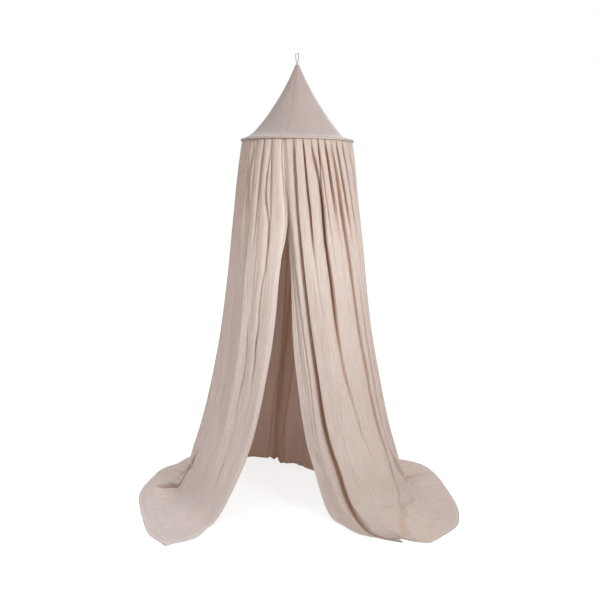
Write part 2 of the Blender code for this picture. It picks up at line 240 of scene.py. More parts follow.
SECTIONS = (
    # share  shoulder      waist           ankle           foot            trail           hem
    (0.000, -0.055, -0.268, -0.114, -0.255, -0.238, -0.234, -0.392, -0.268, -0.438, -0.362, -0.557, -0.420),
    (0.030, -0.121, -0.258, -0.188, -0.238, -0.305, -0.212, -0.448, -0.232, -0.540, -0.298, -0.641, -0.335),
    (0.075, -0.205, -0.205, -0.262, -0.190, -0.375, -0.165, -0.508, -0.165, -0.610, -0.182, -0.712, -0.170),
    (0.130, -0.262, -0.118, -0.340, -0.108, -0.452, -0.080, -0.570, -0.050, -0.670, -0.032, -0.771, 0.025),
    (0.200, -0.291, 0.010, -0.378, 0.030, -0.502, 0.080, -0.618, 0.125, -0.690, 0.160, -0.764, 0.205),
    (0.270, -0.262, 0.138, -0.345, 0.178, -0.462, 0.235, -0.572, 0.290, -0.625, 0.340, -0.695, 0.395),
    (0.360, -0.160, 0.245, -0.240, 0.320, -0.335, 0.400, -0.405, 0.460, -0.415, 0.570, -0.430, 0.690),
    (0.450, -0.030, 0.290, -0.075, 0.400, -0.110, 0.475, -0.120, 0.510, -0.125, 0.650, -0.130, 0.800),
    (0.540, 0.108, 0.265, 0.088, 0.342, 0.070, 0.368, 0.068, 0.362, 0.110, 0.540, 0.165, 0.720),
    (0.620, 0.215, 0.175, 0.232, 0.250, 0.268, 0.280, 0.315, 0.330, 0.370, 0.450, 0.430, 0.570),
    (0.690, 0.274, 0.060, 0.341, 0.130, 0.428, 0.185, 0.515, 0.255, 0.590, 0.325, 0.680, 0.405),
    (0.760, 0.277, -0.065, 0.360, 0.000, 0.470, 0.040, 0.580, 0.070, 0.662, 0.098, 0.746, 0.130),
    (0.834, 0.199, -0.195, 0.300, -0.120, 0.412, -0.078, 0.535, -0.080, 0.642, -0.122, 0.743, -0.165),
    (0.890, 0.100, -0.258, 0.190, -0.213, 0.300, -0.178, 0.415, -0.190, 0.540, -0.265, 0.658, -0.323),
    (0.912, 0.056, -0.265, 0.138, -0.228, 0.232, -0.200, 0.345, -0.225, 0.455, -0.330, 0.565, -0.400),
    (0.935, 0.008, -0.268, 0.088, -0.238, 0.166, -0.218, 0.275, -0.235, 0.380, -0.325, 0.474, -0.372),
    (1.000, -0.045, -0.236, -0.008, -0.228, 0.070, -0.216, 0.183, -0.240, 0.272, -0.330, 0.450, -0.394),
)
EDGE_REACH = 0.034  # the share of the width, at the left front, that swings with its edge
EDGE_SWING = (
    # share of the length, m to the right
    (0.0, 0.0), (0.10, 0.002), (0.16, 0.012), (0.20, 0.006), (0.25, -0.009), (0.32, -0.015),
    (0.45, -0.014), (0.60, -0.012), (0.72, -0.007), (0.84, 0.0), (1.0, 0.0),
)


def hoop_places(shares):
    """Where the cloth is sewn to the hoop: x and y for each share of its width."""
    bearing = np.radians(FIRST_BEARING + (LAST_BEARING - FIRST_BEARING) * shares)
    radius = HOOP_RADIUS - OVERLAP_TUCK * ease(shares, *OVERLAP_SHARES)
    return -radius * np.sin(bearing), -radius * np.cos(bearing)


def bare_cloth(shares, lengths):
    """The skirt without pleats or folds: an array of (width, length, xyz)."""
    table = np.array(SECTIONS)
    x_hoop, y_hoop = hoop_places(shares)
    xs, ys = [x_hoop], [y_hoop]
    for level in range(1, len(LEVELS)):
        xs.append(smooth_line(table[:, 0], table[:, 2 * level - 1], shares))
        ys.append(smooth_line(table[:, 0], table[:, 2 * level], shares))
    xs, ys = np.array(xs), np.array(ys)
    cloth = np.zeros((len(shares), len(lengths), 3))
    for k in range(len(shares)):
        cloth[k, :, 0] = smooth_line(LEVEL_SHARES, xs[:, k], lengths)
        cloth[k, :, 1] = smooth_line(LEVEL_SHARES, ys[:, k], lengths)
    cloth[:, :, 2] = smooth_line(LEVEL_SHARES, LEVEL_HEIGHTS, lengths, level=True) + FLOOR
    cloth[:, :, 2] -= HOOP_LEAN * cloth[:, :, 0] * (1 - ease(lengths, 0.0, LEVELS["shoulder"][0]))
    swing = smooth_line(*zip(*EDGE_SWING), lengths, level=True)
    cloth[:, :, 0] += (1 - ease(shares, 0.0, EDGE_REACH))[:, None] * swing[None, :]
    return cloth


# %% [markdown]
# The grid is finer where the eye looks closest: at the open front, under the casing, and where the cloth
# lies in creases on the floor. A density table says how many lines each stretch gets.


# %% Choose the grid's lines
def spread(density, count):
    """count places from 0 to 1, closer together where the density table says more."""
    fine = np.linspace(0.0, 1.0, 4001)
    weight = smooth_line(*zip(*density), fine, level=True)
    total = np.concatenate(([0.0], np.cumsum((weight[1:] + weight[:-1]) / 2)))
    return np.interp(np.linspace(0.0, total[-1], count), total, fine)


ACROSS_DENSITY = ((0.0, 2.6), (0.11, 2.4), (0.17, 0.85), (0.70, 0.80), (0.77, 2.4), (1.0, 2.6))
ALONG_DENSITY = ((0.0, 3.0), (0.04, 1.4), (0.12, 0.9), (0.70, 0.9), (0.82, 1.6), (0.90, 2.0), (1.0, 2.4))
COLUMNS, ROWS = 840, 112
shares = spread(ACROSS_DENSITY, COLUMNS)
lengths = spread(ALONG_DENSITY, ROWS)
across = (shares * SKIRT_WIDTH)[:, None] + np.zeros((1, ROWS))
along = (lengths * SKIRT_LENGTH)[None, :] + np.zeros((COLUMNS, 1))
pitches = 1000 * np.diff(across[:, 0])
print("columns", round(float(pitches.min()), 1), "to", round(float(pitches.max()), 1), "mm apart")

# %% [markdown]
# ## Gathers and pleats
#
# A maker runs a gathering thread along the top of the skirt and draws it up to the length of the hoop. The
# fullness stands out in pleats below the casing, and they open and fade on the way down. The front pleats
# are placed where the photograph has them. The ones at the back follow at an uneven pitch.

# %% Place the pleats
LEFT_VALLEYS = (0.000, 0.028, 0.052, 0.075, 0.092, 0.118)
RIGHT_VALLEYS = (0.750, 0.788, 0.813, 0.834, 0.850, 0.871, 0.890, 0.911, 0.935, 1.000)
BACK_PLEATS = 25
BACK_WANDER = 0.22  # the share of the pitch by which a pleat at the back strays
PLEAT_DEPTHS = (
    # share of the length, m
    (0.00, 0.0025), (0.03, 0.0090), (0.10, 0.0105), (0.18, 0.0070), (0.30, 0.0032), (0.45, 0.0016),
    (0.72, 0.0016), (0.86, 0.0020), (1.00, 0.0020),
)
PLEAT_WAVES = ((0.35, 1.9, 4.0, 0.0), (0.25, 4.3, -9.0, 1.0))  # strength, by pleat, by length, start
PLEAT_MIDDLE = 0.70  # the share of a pleat that stands inward of the bare cloth where it hangs
LIES_FROM = 0.84  # the share of the length where the cloth reaches the floor
EDGE_PLEAT = 0.35  # how much of its pleats the hidden right edge keeps
SLOPING_SIDE, STEEP_SIDE = 2.2, 7.0
PLEAT_TUCK = 0.0035  # how far a pleat's steep side is pushed over its valley
TUCK_REACH = 0.006


def pleat_valleys():
    first, last = LEFT_VALLEYS[-1], RIGHT_VALLEYS[0]
    pitch = (last - first) / BACK_PLEATS
    back = []
    for k in range(1, BACK_PLEATS):
        stray = BACK_WANDER * math.sin(2.4 * k) + 0.5 * BACK_WANDER * math.sin(5.1 * k + 1.0)
        back.append(first + pitch * (k + stray))
    return np.array(LEFT_VALLEYS + tuple(back) + RIGHT_VALLEYS)


def pleat_relief():
    """Ridges that slope down on one side and end steeply on the other, and the tuck between them."""
    left = np.clip(np.searchsorted(valleys, shares, side="right") - 1, 0, len(valleys) - 2)
    width = valleys[left + 1] - valleys[left]
    part = np.clip((shares - valleys[left]) / width, 0.0, 1.0)
    ridge = 1.0 - np.abs(2 * part - 1) ** np.where(part < 0.5, SLOPING_SIDE, STEEP_SIDE)
    depths = smooth_line(*zip(*PLEAT_DEPTHS), lengths, level=True)
    vary = 1.0
    for strength, by_pleat, by_length, start in PLEAT_WAVES:
        vary = vary + strength * np.sin(by_pleat * left[:, None] + by_length * lengths[None, :] + start)
    near_edge = 1 - ease(shares, *OVERLAP_SHARES) * (1 - EDGE_PLEAT)
    middle = PLEAT_MIDDLE * (1 - ease(lengths, LEVELS["ankle"][0], LIES_FROM))
    reach = np.minimum(part, 1 - part) * width * SKIRT_WIDTH
    tuck = -PLEAT_TUCK * np.exp(-((reach / TUCK_REACH) ** 2))[:, None] * (depths / depths.max())[None, :]
    height = near_edge[:, None] * (ridge[:, None] - middle[None, :]) * depths[None, :] * vary
    return height, tuck * near_edge[:, None]


valleys = pleat_valleys()
print(len(valleys) - 1, "pleats round the hoop")

# %% [markdown]
# ## The main folds, one by one
#
# Between the pleats lie the deep folds that give this canopy its look. Each is a soft trough, drawn one
# by one: how wide it is, how far its bottom is pushed sideways under the next panel, and then its stations
# on the way down, which are the share of the length, the place across the cloth and the depth. The push
# makes the neighbour overhang, which is what gives the dark line with one sharp side. The last two rows
# are the folds at the two feet, where the hanging cloth turns and lies down on the floor.

# %% Draw the main folds
FOLDS = (
    # right and left half width and push in mm, then the stations: share of the length, share of the
    # width, depth in mm
    (7, 31, -18, (
        (0.00, 0.935, 2), (0.03, 0.935, 9), (0.10, 0.935, 12), (0.17, 0.936, 16), (0.22, 0.936, 28),
        (0.30, 0.938, 44), (0.42, 0.940, 54), (0.60, 0.938, 58), (0.72, 0.932, 54), (0.80, 0.932, 48),
        (0.86, 0.940, 42), (0.90, 0.953, 34), (0.93, 0.964, 26), (0.96, 0.976, 18), (1.00, 1.000, 6))),
    (6, 11, -9, (
        (0.10, 0.966, 0), (0.15, 0.967, 12), (0.20, 0.967, 20), (0.26, 0.967, 22),
        (0.34, 0.965, 18), (0.42, 0.962, 12), (0.60, 0.962, 6), (0.72, 0.965, 0))),
    (5, 10, -7, (
        (0.10, 0.983, 0), (0.16, 0.984, 12), (0.26, 0.984, 14),
        (0.36, 0.983, 11), (0.46, 0.981, 6), (0.60, 0.980, 0))),
    (5, 12, -9, (
        (0.00, 0.911, 2), (0.03, 0.911, 11), (0.09, 0.911, 17),
        (0.15, 0.910, 18), (0.20, 0.912, 10), (0.26, 0.914, 0))),
    (6, 26, -16, (
        (0.00, 0.891, 2), (0.03, 0.888, 12), (0.08, 0.881, 24), (0.12, 0.879, 34), (0.20, 0.883, 44),
        (0.30, 0.882, 42), (0.38, 0.884, 30), (0.46, 0.886, 14), (0.60, 0.880, 6), (0.76, 0.868, 0))),
    (5, 9, -6, (
        (0.00, 0.871, 2), (0.03, 0.872, 10), (0.07, 0.876, 13), (0.12, 0.879, 0))),
    (5, 10, -6, (
        (0.00, 0.850, 2), (0.03, 0.850, 10), (0.08, 0.851, 12), (0.14, 0.852, 7), (0.24, 0.852, 0))),
    (7, 22, -9, (
        (0.00, 0.831, 2), (0.03, 0.831, 10), (0.08, 0.830, 15), (0.17, 0.831, 20),
        (0.25, 0.829, 20), (0.34, 0.829, 17), (0.47, 0.829, 17), (0.60, 0.829, 16),
        (0.70, 0.830, 12), (0.80, 0.832, 5), (0.84, 0.832, 0))),
    (8, 14, -5, (
        (0.26, 0.806, 0), (0.34, 0.807, 9), (0.46, 0.806, 11),
        (0.59, 0.810, 10), (0.68, 0.812, 5), (0.76, 0.812, 0))),
    (5, 11, -6, (
        (0.00, 0.813, 2), (0.03, 0.813, 10), (0.08, 0.813, 12), (0.16, 0.812, 7), (0.26, 0.810, 0))),
    (6, 13, -6, (
        (0.00, 0.788, 2), (0.03, 0.788, 10), (0.08, 0.790, 15), (0.14, 0.790, 13),
        (0.22, 0.787, 5), (0.50, 0.785, 8), (0.70, 0.785, 5), (0.82, 0.785, 0))),
    (7, 13, -4, (
        (0.00, 0.750, 2), (0.04, 0.750, 9), (0.10, 0.750, 10),
        (0.50, 0.752, 10), (0.70, 0.750, 6), (0.82, 0.750, 0))),
    (6, 12, -8, (
        (0.00, 0.031, 2), (0.03, 0.034, 10), (0.07, 0.038, 15), (0.12, 0.039, 15), (0.16, 0.033, 15),
        (0.25, 0.031, 10), (0.33, 0.036, 8), (0.43, 0.034, 8), (0.50, 0.030, 3), (0.58, 0.030, 0))),
    (7, 12, -2, (
        (0.00, 0.005, 2), (0.03, 0.005, 7), (0.09, 0.004, 10), (0.16, 0.004, 7), (0.24, 0.004, 0))),
    (5, 9, -6, (
        (0.00, 0.053, 3), (0.03, 0.055, 14), (0.08, 0.057, 17), (0.14, 0.058, 12), (0.24, 0.058, 0))),
    (9, 28, -14, (
        (0.00, 0.078, 2), (0.03, 0.084, 12), (0.06, 0.089, 20), (0.11, 0.086, 28),
        (0.19, 0.081, 34), (0.27, 0.079, 26), (0.34, 0.080, 14), (0.44, 0.080, 0))),
    (6, 9, -5, (
        (0.00, 0.104, 3), (0.03, 0.104, 12), (0.08, 0.105, 15), (0.16, 0.106, 9), (0.26, 0.108, 0))),
    (8, 18, -6, (
        (0.00, 0.128, 2), (0.04, 0.128, 8), (0.18, 0.130, 10),
        (0.40, 0.134, 12), (0.60, 0.136, 11), (0.74, 0.140, 0))),
    (10, 62, -14, (
        (0.06, 0.470, 0), (0.20, 0.468, 22), (0.40, 0.466, 46), (0.60, 0.464, 50),
        (0.76, 0.462, 42), (0.86, 0.462, 26), (1.00, 0.464, 10))),
    (8, 30, -10, (
        (0.30, 0.500, 0), (0.45, 0.496, 20), (0.62, 0.490, 26),
        (0.76, 0.482, 24), (0.86, 0.480, 14), (0.96, 0.480, 0))),
    (30, 9, 9, (
        (0.20, 0.436, 0), (0.40, 0.438, 14), (0.60, 0.436, 16), (0.80, 0.432, 12), (0.92, 0.430, 0))),
    (26, 7, 15, (
        (0.70, 0.150, 0), (0.735, 0.156, 8), (0.76, 0.168, 15), (0.785, 0.190, 22), (0.82, 0.203, 27),
        (0.86, 0.205, 27), (0.89, 0.197, 23), (0.915, 0.188, 17), (0.94, 0.180, 9), (0.97, 0.170, 0))),
    (7, 26, -15, (
        (0.70, 0.815, 0), (0.74, 0.808, 10), (0.765, 0.794, 18), (0.79, 0.757, 25), (0.83, 0.722, 27),
        (0.88, 0.706, 24), (0.92, 0.707, 13), (0.95, 0.711, 4), (0.98, 0.714, 0))),
)
TOP_STRENGTH = 1.35  # the folds are fuller near the hoop
TOP_FADES = (0.10, 0.28)


def trough(right_width, left_width, push, stations):
    """How far a fold takes each point inward and sideways, in metres."""
    places_along, places_across, depths = zip(*stations)
    line = smooth_line(places_along, places_across, np.clip(lengths, places_along[0], places_along[-1]))
    inside = (lengths >= places_along[0]) & (lengths <= places_along[-1])
    depth = smooth_line(places_along, depths, lengths, level=True) * inside
    depth = depth * (TOP_STRENGTH - (TOP_STRENGTH - 1) * ease(lengths, *TOP_FADES))
    away = (shares[:, None] - line[None, :]) * SKIRT_WIDTH * 1000
    form = np.exp(-((away / np.where(away > 0, left_width, right_width)) ** 2))
    return form * depth[None, :] / 1000, form * (push * depth / max(depths))[None, :] / 1000


print(len(FOLDS), "main folds drawn by hand")

# %% [markdown]
# The back is not in the photograph. It gets folds of the same kind at an uneven pitch: some start at the
# hoop and fade, some begin lower down where the fullness has nowhere else to go.

# %% Spread folds over the back
BACK_FOLDS = 15
FIRST_BACK_FOLD, BACK_FOLD_PITCH, BACK_FOLD_STRAY = 0.168, 0.0385, 0.009  # shares of the width
BACK_FOLD_DEPTHS = ((18, 8), (8, 22), (14, 16))  # high up and low down, mm, by turns
DEPTH_BY_A_FOOT = 6
NEAR_LEFT_FOOT, NEAR_RIGHT_FOOT = 0.24, 0.66  # shares beyond which the floor folds take over
BACK_STATIONS = (0.0, 0.03, 0.08, 0.18, 0.33, 0.48, 0.72, 0.86, 1.0)
back_folds = []
for k in range(BACK_FOLDS):
    place = FIRST_BACK_FOLD + BACK_FOLD_PITCH * k + BACK_FOLD_STRAY * math.sin(2.7 * k + 0.6)
    strength = 1.25 + 0.45 * math.sin(1.7 * k + 0.4)
    high, low = BACK_FOLD_DEPTHS[k % 3]
    if not NEAR_LEFT_FOOT < place < NEAR_RIGHT_FOOT:
        low = DEPTH_BY_A_FOOT
    depths = (1, 5, 9, high, (high + low) / 2, low + 3, low, low / 2, 0)
    drift = 0.006 * math.sin(1.3 * k)
    stations = tuple((t, place + drift * t, strength * d) for t, d in zip(BACK_STATIONS, depths))
    push = 9 * math.sin(3.9 * k)
    right, left = (9 + push / 2, 14 - push / 2) if push < 0 else (16, 9)
    back_folds.append((right, left, push, stations))
print(BACK_FOLDS, "folds round the back")

# %% [markdown]
# Where the cloth lies behind and beside the canopy its fullness makes low waves that run out to the hem.
# They alternate, a ridge and then a valley, at an uneven pitch.

# %% Lay waves in the trail
WAVES = 11
FIRST_WAVE, WAVE_PITCH, WAVE_STRAY = 0.285, 0.0345, 0.008  # shares of the width
VALLEY_SHARE = -0.7  # a valley's depth beside a ridge's height
trail_waves = []
for k in range(WAVES):
    place = FIRST_WAVE + WAVE_PITCH * k + WAVE_STRAY * math.sin(3.1 * k)
    height = (14 + 6 * math.sin(2.2 * k + 1.0)) * (1 if k % 2 else VALLEY_SHARE)
    bend = 0.010 * math.sin(1.6 * k)
    points = (
        (place, 0.83, 0), (place + bend, 0.89, 0.8 * height), (place + bend, 0.95, height),
        (place, 1.0, 0.9 * height),
    )
    trail_waves.append((34 + 10 * math.sin(4.7 * k), points))
print(WAVES, "waves in the trail")

# %% [markdown]
# ## Creases that wander
#
# Smaller creases don't run straight down: they start, bend and fade. Each is a short line of given
# points on the cloth: share of the width, share of the length, height in mm, with a half width. A minus
# height is a trough. The same helper draws the folds of the cloth that lies on the floor: the roll behind
# each foot's fold, the valley that parts the right side in two, and the slow waves at the back.

# %% Draw wandering creases
CREASES = (
    # half width in mm, then the points: share of the width, share of the length, height in mm
    (6, ((0.060, 0.38, 0), (0.058, 0.42, -7), (0.053, 0.50, -8), (0.056, 0.55, -8), (0.058, 0.61, 0))),
    (6, ((0.036, 0.34, 0), (0.033, 0.40, -7), (0.036, 0.43, -6), (0.030, 0.49, -6), (0.028, 0.54, 0))),
    (34, ((0.080, 0.20, 0), (0.072, 0.34, 12), (0.072, 0.46, 16), (0.072, 0.60, 16), (0.076, 0.76, 0))),
    (38, ((0.102, 0.18, 0), (0.102, 0.34, -12), (0.102, 0.50, -14), (0.102, 0.70, 0))),
    (6, ((0.925, 0.28, 0), (0.926, 0.38, -3), (0.922, 0.47, 0))),
    (8, ((0.893, 0.46, 0), (0.886, 0.51, -6), (0.880, 0.58, -6), (0.877, 0.66, -6), (0.868, 0.75, 0))),
    (6, ((0.874, 0.49, 0), (0.868, 0.56, -4), (0.864, 0.62, 0))),
    (6, ((0.862, 0.60, 0), (0.872, 0.625, -4), (0.879, 0.65, 0))),
    (26, ((0.912, 0.34, 0), (0.912, 0.55, 6), (0.908, 0.72, 4), (0.905, 0.80, 0))),
    (26, ((0.858, 0.30, 0), (0.860, 0.52, 7), (0.856, 0.74, 0))),
    (20, ((0.965, 0.30, 0), (0.965, 0.50, 5), (0.965, 0.66, 0))),
    (7, ((0.978, 0.62, 0), (0.972, 0.66, -4), (0.968, 0.70, 0))),
)
FLOOR_CREASES = (
    (10, ((0.198, 0.78, 0), (0.211, 0.82, 9), (0.213, 0.86, 12), (0.205, 0.89, 11), (0.196, 0.915, 9),
          (0.186, 0.945, 0))),
    (60, ((0.210, 0.79, 0), (0.232, 0.83, 6), (0.250, 0.87, 14), (0.256, 0.92, 24), (0.250, 0.96, 20),
          (0.242, 1.00, 8))),
    (18, ((0.160, 0.84, 0), (0.162, 0.87, 6), (0.152, 0.91, 8), (0.140, 0.94, 6), (0.128, 0.96, 0))),
    (6, ((0.216, 0.80, 0), (0.226, 0.84, -8), (0.230, 0.88, -8), (0.222, 0.92, 0))),
    (8, ((0.080, 0.83, 0), (0.070, 0.855, -6), (0.055, 0.875, -6), (0.036, 0.895, 0))),
    (6, ((0.130, 0.955, 0), (0.138, 0.94, -4), (0.146, 0.92, 0))),
    (40, ((0.030, 0.93, 0), (0.070, 0.92, 4), (0.115, 0.91, 6), (0.150, 0.93, 0))),
    (10, ((0.794, 0.75, 0), (0.748, 0.785, 9), (0.714, 0.83, 12), (0.698, 0.88, 12), (0.699, 0.92, 9),
          (0.704, 0.95, 0))),
    (55, ((0.740, 0.79, 0), (0.700, 0.83, 4), (0.682, 0.87, 12), (0.676, 0.92, 20), (0.682, 0.97, 16),
          (0.690, 1.00, 6))),
    (18, ((0.745, 0.86, 0), (0.735, 0.89, 7), (0.727, 0.93, 8), (0.720, 0.97, 5), (0.716, 1.00, 0))),
    (15, ((0.834, 0.75, 0), (0.829, 0.80, -8), (0.842, 0.835, -14), (0.870, 0.87, -18), (0.896, 0.90, -20),
          (0.910, 0.93, -19), (0.921, 0.96, -15), (0.930, 1.00, -10))),
    (22, ((0.798, 0.85, 0), (0.818, 0.862, 9), (0.840, 0.880, 10), (0.862, 0.905, 8), (0.880, 0.93, 0))),
    (34, ((0.850, 0.93, 0), (0.872, 0.955, 8), (0.890, 0.98, 8), (0.900, 1.00, 4))),
    (60, ((0.345, 0.90, 0), (0.370, 0.925, 20), (0.395, 0.92, 0))),
    (55, ((0.550, 0.92, 0), (0.575, 0.91, 22), (0.600, 0.90, 0))),
    (40, ((0.440, 0.88, 0), (0.452, 0.94, 14), (0.448, 1.00, 8))),
)


def crease(half_width, points):
    """The height that a crease adds to each point, from its distance to the crease's line, in metres."""
    table = np.array(points, float)
    fine = np.linspace(0, len(table) - 1, 6 * len(table))
    table = np.column_stack([smooth_line(np.arange(len(table)), table[:, k], fine) for k in range(3)])
    x, y = table[:, 0] * SKIRT_WIDTH, table[:, 1] * SKIRT_LENGTH
    nearest = np.full(across.shape, np.inf)
    height = np.zeros(across.shape)
    for k in range(len(fine) - 1):
        run_x, run_y = x[k + 1] - x[k], y[k + 1] - y[k]
        t = ((across - x[k]) * run_x + (along - y[k]) * run_y) / (run_x**2 + run_y**2)
        t = np.clip(t, 0.0, 1.0)
        away = np.hypot(across - x[k] - t * run_x, along - y[k] - t * run_y)
        closer = away < nearest
        nearest = np.where(closer, away, nearest)
        height = np.where(closer, table[k, 2] * (1 - t) + table[k + 1, 2] * t, height)
    return height / 1000 * np.exp(-((nearest * 1000 / half_width) ** 2))


LEFT_PANEL, RIGHT_PANEL = (0.012, 0.115), (0.790, 0.985)  # shares of the width
CREASE_STARTS, CREASE_REACH = (0.24, 0.70), (0.030, 0.085)  # shares of the length
CREASE_LEAN = (-0.006, 0.006)  # share of the width
CREASE_DEPTH, CREASE_HALF_WIDTH = (2.4, 6.0), (3.5, 6.0)  # mm


def short_creases(seed, count):
    """Short creases from handling, on the two front panels: each starts, leans a little and fades."""
    draws = np.random.RandomState(seed)
    made = []
    for k in range(count):
        place = draws.uniform(*LEFT_PANEL) if k % 2 else draws.uniform(*RIGHT_PANEL)
        start, reach = draws.uniform(*CREASE_STARTS), draws.uniform(*CREASE_REACH)
        lean, depth = draws.uniform(*CREASE_LEAN), -draws.uniform(*CREASE_DEPTH)
        points = (
            (place, start, 0),
            (place + 0.4 * lean, start + 0.3 * reach, depth),
            (place + 0.6 * lean, start + 0.7 * reach, 0.8 * depth),
            (place + lean, start + reach, 0),
        )
        made.append((draws.uniform(*CREASE_HALF_WIDTH), points))
    return made


SHORT_CREASES = short_creases(seed=61, count=44)
print(len(CREASES), "creases and", len(SHORT_CREASES), "short ones")
print(len(FLOOR_CREASES), "folds in the cloth on the floor")

# %% [markdown]
# ## Crinkle
#
# Muslin of this kind is washed after weaving and dries in fine crinkles that run with the warp. The larger
# ones are real ripples in the sheet here, so that they also catch the light at the outline. The finest are
# left to the finish. Under the casing the gathering thread adds short tight puckers. Where the cloth lies
# slack on the floor its ripples run with the hem instead.

# %% Crinkle the cloth
HILLS = {  # seed, then how wide and how long the hills are, m
    "wander": (11, 0.25, 0.35),
    "broad ripples": (21, 0.034, 0.24),
    "fine ripples": (22, 0.015, 0.11),
    "strength": (23, 0.30, 0.45),
    "puckers": (24, 0.011, 0.10),
    "broad floor ripples": (25, 0.16, 0.032),
    "fine floor ripples": (26, 0.09, 0.019),
    "swell": (31, 0.16, 0.55),
    "small swell": (32, 0.08, 0.40),
    "air": (33, 0.16, 0.12),
}
RIPPLE_WANDER = 0.012  # how far the ripples stray from straight, m
BROAD_RIPPLE, FINE_RIPPLE, FLOOR_RIPPLE, PUCKER = 0.0011, 0.0006, 0.0026, 0.0022  # high, m
LANDS = (0.80, 0.90)  # the cloth comes to lie between these shares of the length
RIPPLES_GROW = (0.0, 0.05)  # shares of the length
PUCKERS_GROW, PUCKERS_FADE = (0.0, 0.012), (0.015, 0.13)  # m below the casing


def hills(name, moved=0.0):
    """The named hills over the whole skirt, moved sideways where that is asked for."""
    seed, wide, long = HILLS[name]
    return uneven(seed, across + moved, along, wide, long)


def crinkle_relief():
    """The ripples along the warp, the gathers' puckers and the ripples of the cloth that lies."""
    wander = RIPPLE_WANDER * hills("wander")
    ripples = BROAD_RIPPLE * hills("broad ripples", wander) + FINE_RIPPLE * hills("fine ripples", wander)
    lies = ease(lengths, *LANDS)
    hanging = (0.75 + 0.45 * hills("strength")) * ripples * (1 - 0.5 * lies) * ease(lengths, *RIPPLES_GROW)
    puckers = PUCKER * hills("puckers") * (1 - ease(along, *PUCKERS_FADE)) * ease(along, *PUCKERS_GROW)
    weftwise = hills("broad floor ripples") + 0.6 * hills("fine floor ripples")
    return hanging + puckers + FLOOR_RIPPLE * weftwise * lies


crinkle = crinkle_relief()
print("the crinkle is up to", round(1000 * float(np.abs(crinkle).max()), 1), "mm high")

# %% [markdown]
# ## Swell, edges and the lie on the floor
#
# Between its folds a full cloth swells slowly. The left front facing turns in along its stitch line, where
# the photograph shows a narrow shaded edge, and the gathers sit in under the casing. Where the cloth meets
# the floor it lands in a sweep instead of a sharp bend, and then it lies with some air under it. Two short
# tables say how much of both each stretch of the width has.

# %% Let the cloth swell, turn and land
SWELL, SWELL_GROWS = 0.0045, (0.10, 0.40)  # m, and shares of the length
HEM_BAND = 0.028  # the width of the left front facing, m
FACING_TURN, FACING_OPENS, FACING_CLOSES = 0.019, (0.22, 0.40), (0.70, 0.84)
NECK, NECK_FADES = 0.004, (0.0, 0.07)
FLOOR_AIR, AIR_GROWS, AIR_FADES = 0.020, (0.78, 0.90), (0.95, 1.0)
AIR_SHARES = (
    # share of the width, share of the full height
    (0.0, 0.20), (0.02, 0.40), (0.07, 0.80), (0.12, 1.0), (0.80, 1.0), (0.87, 0.45), (0.93, 0.30),
    (1.0, 0.20),
)
LANDING = (0.848, 0.070)  # where the cloth lands and how long the sweep is, shares of the length
LANDING_LIFT = (
    # share of the width, m
    (0.0, 0.002), (0.02, 0.009), (0.05, 0.028), (0.09, 0.036), (0.13, 0.020), (0.17, 0.008),
    (0.30, 0.005), (0.75, 0.006), (0.83, 0.024), (0.87, 0.046), (0.91, 0.060), (0.95, 0.054),
    (0.98, 0.032), (1.0, 0.010),
)


def swell_relief():
    slow = hills("swell") + 0.5 * hills("small swell")
    return SWELL * slow * ease(lengths, *SWELL_GROWS) * (1 - 0.4 * ease(lengths, *LANDS))


def edge_relief():
    turned = np.clip(1 - shares * SKIRT_WIDTH / HEM_BAND, 0.0, 1.0)[:, None]
    open_stretch = ease(lengths, *FACING_OPENS) * (1 - ease(lengths, *FACING_CLOSES))
    return -FACING_TURN * turned * open_stretch - NECK * (1 - ease(lengths, *NECK_FADES))


def floor_relief():
    """The air under the cloth that lies, and how far it is lifted where it lands."""
    front_air = smooth_line(*zip(*AIR_SHARES), shares)[:, None]
    lying = ease(lengths, *AIR_GROWS) * (1 - 0.65 * ease(lengths, *AIR_FADES))
    middle, half_length = LANDING
    landing = np.exp(-(((lengths - middle) / half_length) ** 2))
    lift = smooth_line(*zip(*LANDING_LIFT), shares)[:, None]
    return FLOOR_AIR * (0.55 + 0.45 * hills("air")) * front_air * lying, lift * landing


air, lift = floor_relief()
print("the landing is lifted by up to", round(1000 * float(lift.max())), "mm")

# %% [markdown]
# Everything that lifts or sinks the cloth is now added up, and the folds' sideways push beside it.

# %% Add up the relief
relief, sideways = pleat_relief()
relief = relief + crinkle + swell_relief() + edge_relief() + air
for fold in [*FOLDS, *back_folds]:
    inward, shift = trough(*fold)
    relief -= inward
    sideways += shift
for row in [*CREASES, *SHORT_CREASES, *FLOOR_CREASES, *trail_waves]:
    relief += crease(*row)
print("relief from", round(1000 * float(relief.min())), "to", round(1000 * float(relief.max())), "mm")

# %% [markdown]
# ## Hanging the skirt
#
# The relief is added along the direction away from the inside of the canopy, and the folds' push along the
# cloth's width. What would sink into the floor is lifted softly instead, because cloth that lies has air
# under its folds. The front edges and the hem are then turned under, as they are sewn: at every free edge
# the sheet goes round and runs back behind itself for a short way, so that it shows a hem's thickness.

# %% Hang the skirt
LOWEST = FLOOR + 0.0012  # the middle of the lying sheet
LOWEST_TURNED = FLOOR + 0.0003  # the turned hem under it
FLOOR_SOFTNESS = 0.004


def unit(vectors):
    return vectors / np.maximum(np.linalg.norm(vectors, axis=2), 1e-12)[:, :, None]


def outward(cloth):
    """The direction away from the canopy's inside at each point, which is up where the cloth lies."""
    return unit(np.cross(np.gradient(cloth, axis=0), np.gradient(cloth, axis=1)))


def settle(heights):
    """Heights above the lowest place, eased so that nothing is lower and nothing turns sharply."""
    over = (heights - LOWEST) / FLOOR_SOFTNESS
    return LOWEST + FLOOR_SOFTNESS * np.where(over > 20, over, np.log1p(np.exp(np.clip(over, -20, 20))))


